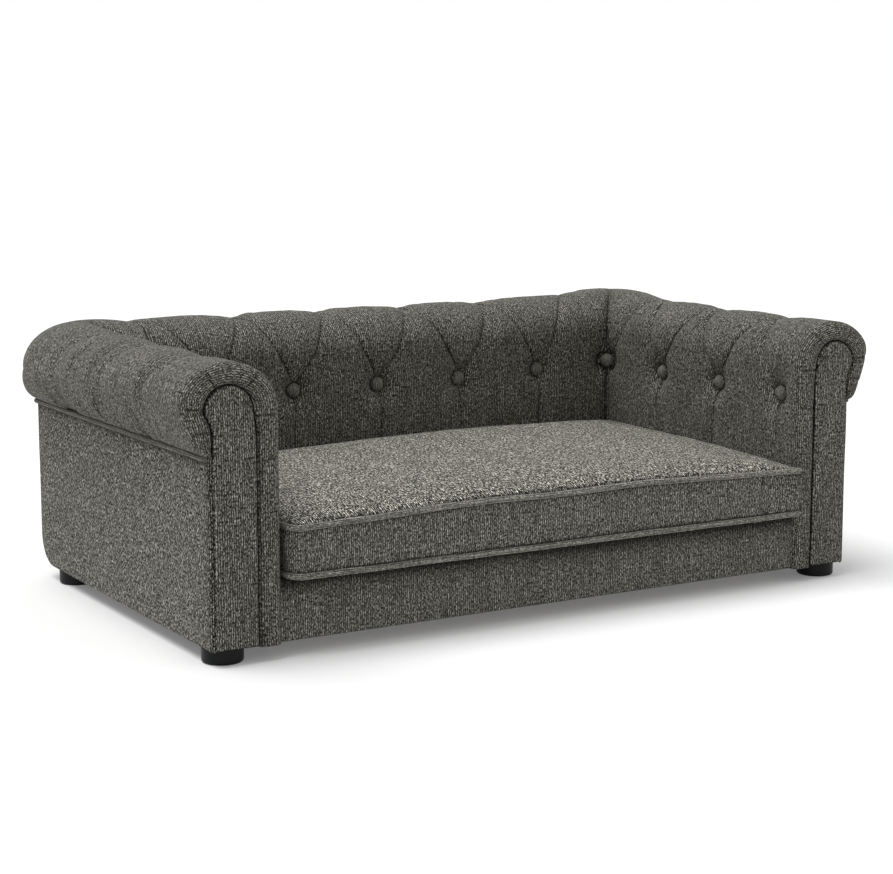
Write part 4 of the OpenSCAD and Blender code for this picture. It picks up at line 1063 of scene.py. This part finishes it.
def welt_line(along, seed):
    """How far a welt wavers to the side, and its height, along its run."""
    height = SEAM_Z - WELT_DROP + 0.3 * MM * noise(along / (24 * MM), 3, seed + 1)
    return 0.25 * MM * noise(along / (20 * MM), 0, seed), height


def side_welt():
    low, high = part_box("side_welt_left")
    y = np.arange(low.y, high.y + 1 * MM, CORD_STEP)
    aside, z = welt_line(y, 71)
    return tube("side_welt_left_cord", stacked(aside - SIDE_X - WELT_OUT, y, z), WELT_R)


def back_welt():
    low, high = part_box("back_welt")
    x = np.arange(low.x, high.x + 1 * MM, CORD_STEP)
    aside, z = welt_line(x, 73)
    return tube("back_welt_cord", stacked(x, BACK_Y + WELT_OUT + aside, z), WELT_R)


dress_both(side_welt(), "side_welt_left", welt_fabric)
dress(back_welt(), "sofa", ["back_welt"], welt_fabric)


# Buttons: cloth drawn over a domed shell

# Millimetres from the button's axis and out of the padding, from the middle of the dome to its back
BUTTON_PROFILE = ((0.0, 6.6), (2.2, 6.45), (4.2, 5.9), (6.0, 4.9), (7.4, 3.6), (8.4, 2.2), (8.95, 0.9),
                  (8.9, -0.2), (8.1, -1.1), (6.5, -1.6), (0.0, -1.8))
BUTTON_SIDES = 40
BUTTON_PUCKERS = 9
DIAGONAL = math.sin(math.pi / 4)


def buttons(name, places):
    """Domed buttons at (place, direction) pairs, the direction pointing out of the padding."""
    turns = np.linspace(0, 2 * math.pi, BUTTON_SIDES, endpoint=False)
    points, faces, uvs = [], [], []
    for number, (place, out) in enumerate(places):
        out = Vector(out).normalized()
        across = out.cross(UP).normalized()
        first = len(points)
        for radius, height in BUTTON_PROFILE:
            for turn in turns:
                pucker = 1 + 0.012 * math.sin(BUTTON_PUCKERS * turn + number) * (radius > 7)
                a, b = radius * MM * pucker * math.cos(turn), radius * MM * pucker * math.sin(turn)
                points.append(Vector(place) + across * a + UP * b + out * (height * MM))
                uvs.append((a + 0.05 * number, b))
        for row in range(first, len(points) - BUTTON_SIDES, BUTTON_SIDES):
            for j in range(BUTTON_SIDES):
                a, b = row + j, row + (j + 1) % BUTTON_SIDES
                faces.append((a, b, b + BUTTON_SIDES, a + BUTTON_SIDES))
    return mended(fresh_object(name, points, faces, uvs), TINY)


def dress_buttons(node, places):
    dress(buttons(node + "_covered", places), "sofa", [node], button_fabric)


button_y = INNER_Y + BUTTON_SINK
dress_buttons("back_buttons", [
    ((k * BACK_PITCH + float(back_shift(k, 0)), button_y, BUTTON_Z - float(back_drop(k))), (0, -1, 0))
    for k in range(1 - HALF_BAYS, HALF_BAYS)])
for side_name, side in (("left", -1), ("right", 1)):
    dress_buttons("arm_buttons_" + side_name, [
        ((side * (INNER_X + BUTTON_SINK), FRONT_BUTTON + k * ARM_PITCH, BUTTON_Z), (-side, 0, 0))
        for k in range(ARM_BAYS)])
corner_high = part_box("corner_buttons")[1]
corner_in = (BUTTON_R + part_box("back_buttons")[1].y - button_y) * DIAGONAL
corner_z = BUTTON_Z + CORNER_BUTTON_LIFT
dress_buttons("corner_buttons", [
    ((side * (corner_high.x - corner_in), corner_high.y - corner_in, corner_z), (-side, -1, 0))
    for side in (-1, 1)])


# Lining under the cushion

def deck_lining(low, high):
    x = np.linspace(low.x, high.x, 150)[:, None]
    y = np.linspace(low.y, high.y, 90)
    edge = np.minimum(np.minimum(x - low.x, high.x - x), np.minimum(y - low.y, high.y - y))
    sag = 0.5 * MM * noise(x / (90 * MM), y / (70 * MM), 81) * smooth(edge, 0, 40 * MM)
    return grid_object("deck_lining", stacked(x, y, high.z - 0.6 * MM + sag), stacked(x, y), flip=True)


deck_low, deck_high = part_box("deck_cloth")
deck = deck_lining(deck_low, deck_high)
dress(deck, "sofa", ["deck_cloth"], deck_fabric)


# Seat cushion

BOW = 7 * MM
REAR_BOW = 9 * MM
REAR_LIFT = 3 * MM
SIDE_BOW = 5 * MM
CROWN = 12 * MM
SHOULDER = 4 * MM
REAR_SHOULDER = 1.5 * MM
PROUD = 7 * MM
FLARE = 22 * MM
CORNER_REACH = 60 * MM
CORNER_DRAW = 2.5 * MM
REAR_TILT = 6 * MM
# Painted shade over the whole boxing
BOXING_SHADE = 0.05
TOP_GRAIN = (1.0, 0.7)
CUSHION_R = 15 * MM
CORNER_STEPS = 12
SEAM_INSET = 5.6 * MM
BOXING_SWELL = 3.6 * MM
SLIM_INSET = 8 * MM
HALF_X = CUSHION[1].x
MID_Y = (CUSHION[0].y + CUSHION[1].y) / 2
HALF_Y = CUSHION[1].y - MID_Y
MIDDLE = np.array([0, MID_Y])
TOP_LINE = CUSHION_LOW + 58 * MM - PIPING_R
BOTTOM_LINE = CUSHION_LOW + PIPING_R + 0.3 * MM


def outline(inset):
    """Points round the cushion's plan, drawn in by inset, counted from the front left corner."""
    radius = CUSHION_R - inset
    x, y = HALF_X - CUSHION_R, HALF_Y - CUSHION_R
    corners = np.array([(-x, -y), (x, -y), (x, y), (-x, y)])
    points = []
    for side, (start, end) in enumerate(zip(corners, np.roll(corners, -1, 0))):
        turns = QUARTER * (side - 1 + np.arange(CORNER_STEPS) / CORNER_STEPS)
        bend_round = radius * stacked(np.cos(turns), np.sin(turns))
        count = int(np.abs(end - start).max() / CORD_STEP)
        shares = np.arange(count)[:, None] / count
        points += [lerp(start, end, shares) + bend_round[0], end + bend_round]
    return np.concatenate(points) + MIDDLE


def rise(points):
    """How far the top seam bows up along each side: most at the back, where the cushion rides up."""
    u = np.minimum(1, np.abs(points[:, 0]) / HALF_X)
    share = np.clip((points[:, 1] - CUSHION[0].y) / (2 * HALF_Y), 0, 1)
    front = BOW * (1 - u ** 2.5)
    rear = REAR_LIFT + REAR_BOW * (1 - u ** 3) + REAR_TILT * points[:, 0] / HALF_X
    side = SIDE_BOW * 4 * share * (1 - share) * u ** 4
    wave = noise(points[:, 0] / (110 * MM), points[:, 1] / (110 * MM), 91)
    return lerp(front, rear, share) + side + 1.6 * MM * wave


def flared(points):
    """The front edge stands proud; its right corner spreads over the arm's edge, the left one is drawn in."""
    out = points.copy()
    to_right = smooth(points[:, 0], HALF_X - CORNER_REACH, HALF_X)
    to_left = smooth(-points[:, 0], HALF_X - CORNER_REACH, HALF_X)
    behind = FRONT_Y - points[:, 1]
    out[:, 0] += FLARE * smooth(behind + 5 * MM, 0, 8 * MM) * to_right
    out[:, 0] += CORNER_DRAW * smooth(behind + CORNER_REACH, 0, CORNER_REACH) * to_left
    out[:, 1] -= PROUD * smooth(behind + 9 * MM, 0, 12 * MM)
    return out


def cushion_loops():
    """Loops of points from the middle of the top over the edge to the middle of the bottom, with marks of
    painted shade.
    """
    loops, marks = [], []
    edge = flared(outline(SEAM_INSET))
    wide, slim = flared(outline(0)), flared(outline(SLIM_INSET))
    lift = rise(edge)
    top = TOP_LINE + lift
    rear = smooth(edge[:, 1], CUSHION[1].y - 12 * MM, CUSHION[1].y - 5 * MM)
    for s in 1 - (1 - np.linspace(0.02, 1, 56)) ** 1.6:
        xy = lerp(MIDDLE, edge, s)
        shoulder = lerp(SHOULDER, REAR_SHOULDER, rear * s ** 14) * (1 - s ** 45)
        puff = BOW * (1 - s * s) + CROWN * (1 - s ** 5) + shoulder + lift * s * s
        loops.append(stacked(*xy.T, TOP_LINE + puff))
        # Painted shade on the top next to its seam
        marks.append(0.85 * smooth(-np.linalg.norm(edge - xy, axis=1), -9 * MM, -2 * MM))
    top_index = len(loops) - 1
    for share in (0.5 - 0.5 * np.cos(math.pi * np.linspace(0, 1, 26)))[1:-1]:
        inset = SEAM_INSET - BOXING_SWELL * math.sin(math.pi * share) ** 0.45 * (1 - rear)
        xy = lerp(wide, slim, (inset / SLIM_INSET)[:, None])
        z = lerp(top, BOTTOM_LINE, share)
        loops.append(stacked(*xy.T, z))
        # Painted shade beside the piping, with a little over the whole boxing
        gap = np.minimum(top - z, z - BOTTOM_LINE) - PIPING_R
        marks.append(np.maximum(np.where(gap < 0, 1, crease(gap)), BOXING_SHADE))
    loops.append(stacked(*edge.T, BOTTOM_LINE))
    # The bottom seam is painted in full shade
    marks.append(np.ones(len(edge)))
    bottom_index = len(loops) - 1
    for s in np.linspace(1, 0.05, 16)[1:]:
        loops.append(stacked(*lerp(MIDDLE, edge, s).T, CUSHION_LOW + 0.4 * MM))
        marks.append(np.zeros(len(edge)))
    return np.array(loops), np.array(marks), top_index, bottom_index


def cushion():
    """The padded cushion, with the loops of points along its two seams."""
    loops, marks, top_index, bottom_index = cushion_loops()
    rings, count = loops.shape[:2]
    ring, column = np.divmod(np.arange((rings - 1) * count), count)
    a, b = ring * count + column, ring * count + (column + 1) % count
    faces = np.stack([a, a + count, b + count, b], 1).tolist()
    faces += [range(count), range(rings * count - 1, (rings - 1) * count - 1, -1)]

    # The top's grain follows the crown; the bottom's is flat
    planar = loops[..., :2] - loops[0, :, :2].mean(0)
    far = np.maximum(np.linalg.norm(planar, axis=2), TINY)
    reach = run_along(loops) + far[0]
    uvs = planar / far[..., None] * reach[..., None]
    uvs[bottom_index:] = planar[bottom_index:]
    obj = fresh_object("cushion_padded", loops, faces, uvs * TOP_GRAIN, marks)
    obj.data.materials.append(cushion_fabric)
    obj.data.materials.append(boxing_fabric)

    # The boxing's grain runs round the cushion
    girth = run_along(outline(0))
    girth = np.append(girth, girth[-1] + CORD_STEP)
    mesh = obj.data
    layer = mesh.uv_layers["grain"].data
    for face in mesh.polygons[top_index * count:bottom_index * count]:
        face.material_index = 1
        joins_up = face.index % count == count - 1
        for loop in face.loop_indices:
            ring, column = divmod(mesh.loops[loop].vertex_index, count)
            around = girth[count if joins_up and column == 0 else column]
            layer[loop].uv = (around, loops[ring, column, 2])
    return mended(obj), loops[top_index], loops[bottom_index]


cushion_piece, top_seam, bottom_seam = cushion()
dress(cushion_piece, "seat_cushion", ["cushion_top", "cushion_boxing", "cushion_bottom"],
      cushion_fabric)


ZIP_PITCH = 1.7 * MM
ZIP_THREAD = 0.32 * MM
STEPS_A_TURN = 8


def zip_teeth():
    """The two nylon coils of the closed zip, meshed along the chain."""
    low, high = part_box("zip_chain")
    depth = (high.y - low.y) / 2 - ZIP_THREAD
    half = (high.z - low.z) / 4
    turns = int((high.x - low.x - 2 * ZIP_THREAD) / ZIP_PITCH)
    t = np.arange(turns * STEPS_A_TURN + 1) / STEPS_A_TURN
    y = (low.y + high.y) / 2 + depth * np.sin(2 * math.pi * t)
    coils = []
    for side, shift in ((-1, 0), (1, ZIP_PITCH / 2)):
        x = low.x + ZIP_THREAD + ZIP_PITCH * t + shift
        z = (low.z + high.z) / 2 + side * (half + (half - ZIP_THREAD) * np.cos(2 * math.pi * t))
        path = stacked(x, y, z)[x < high.x - ZIP_THREAD]
        coils.append(tube("zip_coil", path, ZIP_THREAD, sides=6))
    with bpy.context.temp_override(active_object=coils[0], selected_editable_objects=coils):
        bpy.ops.object.join()
    coils[0].name = "zip_teeth"
    return coils[0]


dress(zip_teeth(), "seat_cushion", ["zip_chain"], zip_nylon)


def piping(name, seam, z_shift):
    """The cord round the cushion, lying just outside its seam."""
    path = stacked(*flared(outline(PIPING_R)).T, seam[:, 2] + z_shift)
    wave = noise(path[:, 0] / (30 * MM), path[:, 1] / (30 * MM), 95)
    path[:, 2] += 0.35 * MM * wave
    return tube(name, path, PIPING_R * (1 + 0.03 * wave), closed=True)


for edge, seam, z_shift in (("top", top_seam, 0.0), ("bottom", bottom_seam, 0.3 * MM)):
    node = "cushion_piping_" + edge
    dress(piping(node + "_cord", seam, z_shift), "seat_cushion", [node], piping_fabric)


# Floor, light and camera

FLOOR_HALF = 7.0
FLOOR_GREY = 0.8
FLOOR_GLOW = 0.14
SKY_LIGHT = 0.52
SUN_TOWARDS = (-0.3, 0.14, 1)
SUN_WIDTH = 40
SUN_STRENGTH = 2.3


def background_ray(tree):
    """1 for a ray that meets the background from the camera, off a shiny surface or through a clear one."""
    path = add(tree, "ShaderNodeLightPath")
    shiny = combine(tree, "MAXIMUM", path["Is Camera Ray"], path["Is Glossy Ray"])
    return combine(tree, "MAXIMUM", shiny, path["Is Transmission Ray"])


def stage():
    side = np.array([-FLOOR_HALF, FLOOR_HALF])
    points = stacked(side[:, None], side, 0)
    floor = grid_object("floor", points, points[..., :2], flip=True)
    material, tree = node_tree("floor_paint")
    surface(tree, {
        "Base Color": (FLOOR_GREY, FLOOR_GREY, FLOOR_GREY, 1),
        "Roughness": 0.9,
        "Emission Color": (*WHITE, 1),
        "Emission Strength": combine(tree, "MULTIPLY", background_ray(tree), FLOOR_GLOW),
    })
    floor.data.materials.append(material)


def overhead():
    """A very wide sun, like a ceiling of softboxes."""
    light = bpy.data.lights.new("overhead", "SUN")
    light.angle = math.radians(SUN_WIDTH)
    light.energy = SUN_STRENGTH
    linked("overhead", light).rotation_euler = Vector(SUN_TOWARDS).to_track_quat("Z", "Y").to_euler()


def world():
    """A dim sky that the camera sees as plain white."""
    studio = bpy.data.worlds.new("studio")
    bpy.context.scene.world = studio
    studio.use_nodes = True
    tree = studio.node_tree
    tree.nodes.clear()
    dim, white = (add(tree, "ShaderNodeBackground", {"Color": (*WHITE, 1), "Strength": light})["Background"]
                  for light in (SKY_LIGHT, 1.0))
    both = add(tree, "ShaderNodeMixShader", {0: background_ray(tree), 1: dim, 2: white})["Shader"]
    add(tree, "ShaderNodeOutputWorld", {"Surface": both})


def camera():
    data = bpy.data.cameras.new("camera")
    data.sensor_width = SENSOR
    data.sensor_fit = "HORIZONTAL"
    data.lens = SENSOR * FOCAL_PX / IMAGE_WIDTH
    obj = linked("camera", data)
    obj.location = (CAMERA_AT[0], CAMERA_AT[1] + FRONT_Y, CAMERA_AT[2])
    obj.rotation_euler = (math.radians(90 - CAMERA_DIP), 0, math.radians(CAMERA_TURN))
    bpy.context.scene.camera = obj


bpy.context.scene.view_settings.view_transform = "Standard"
stage()
world()
overhead()
camera()
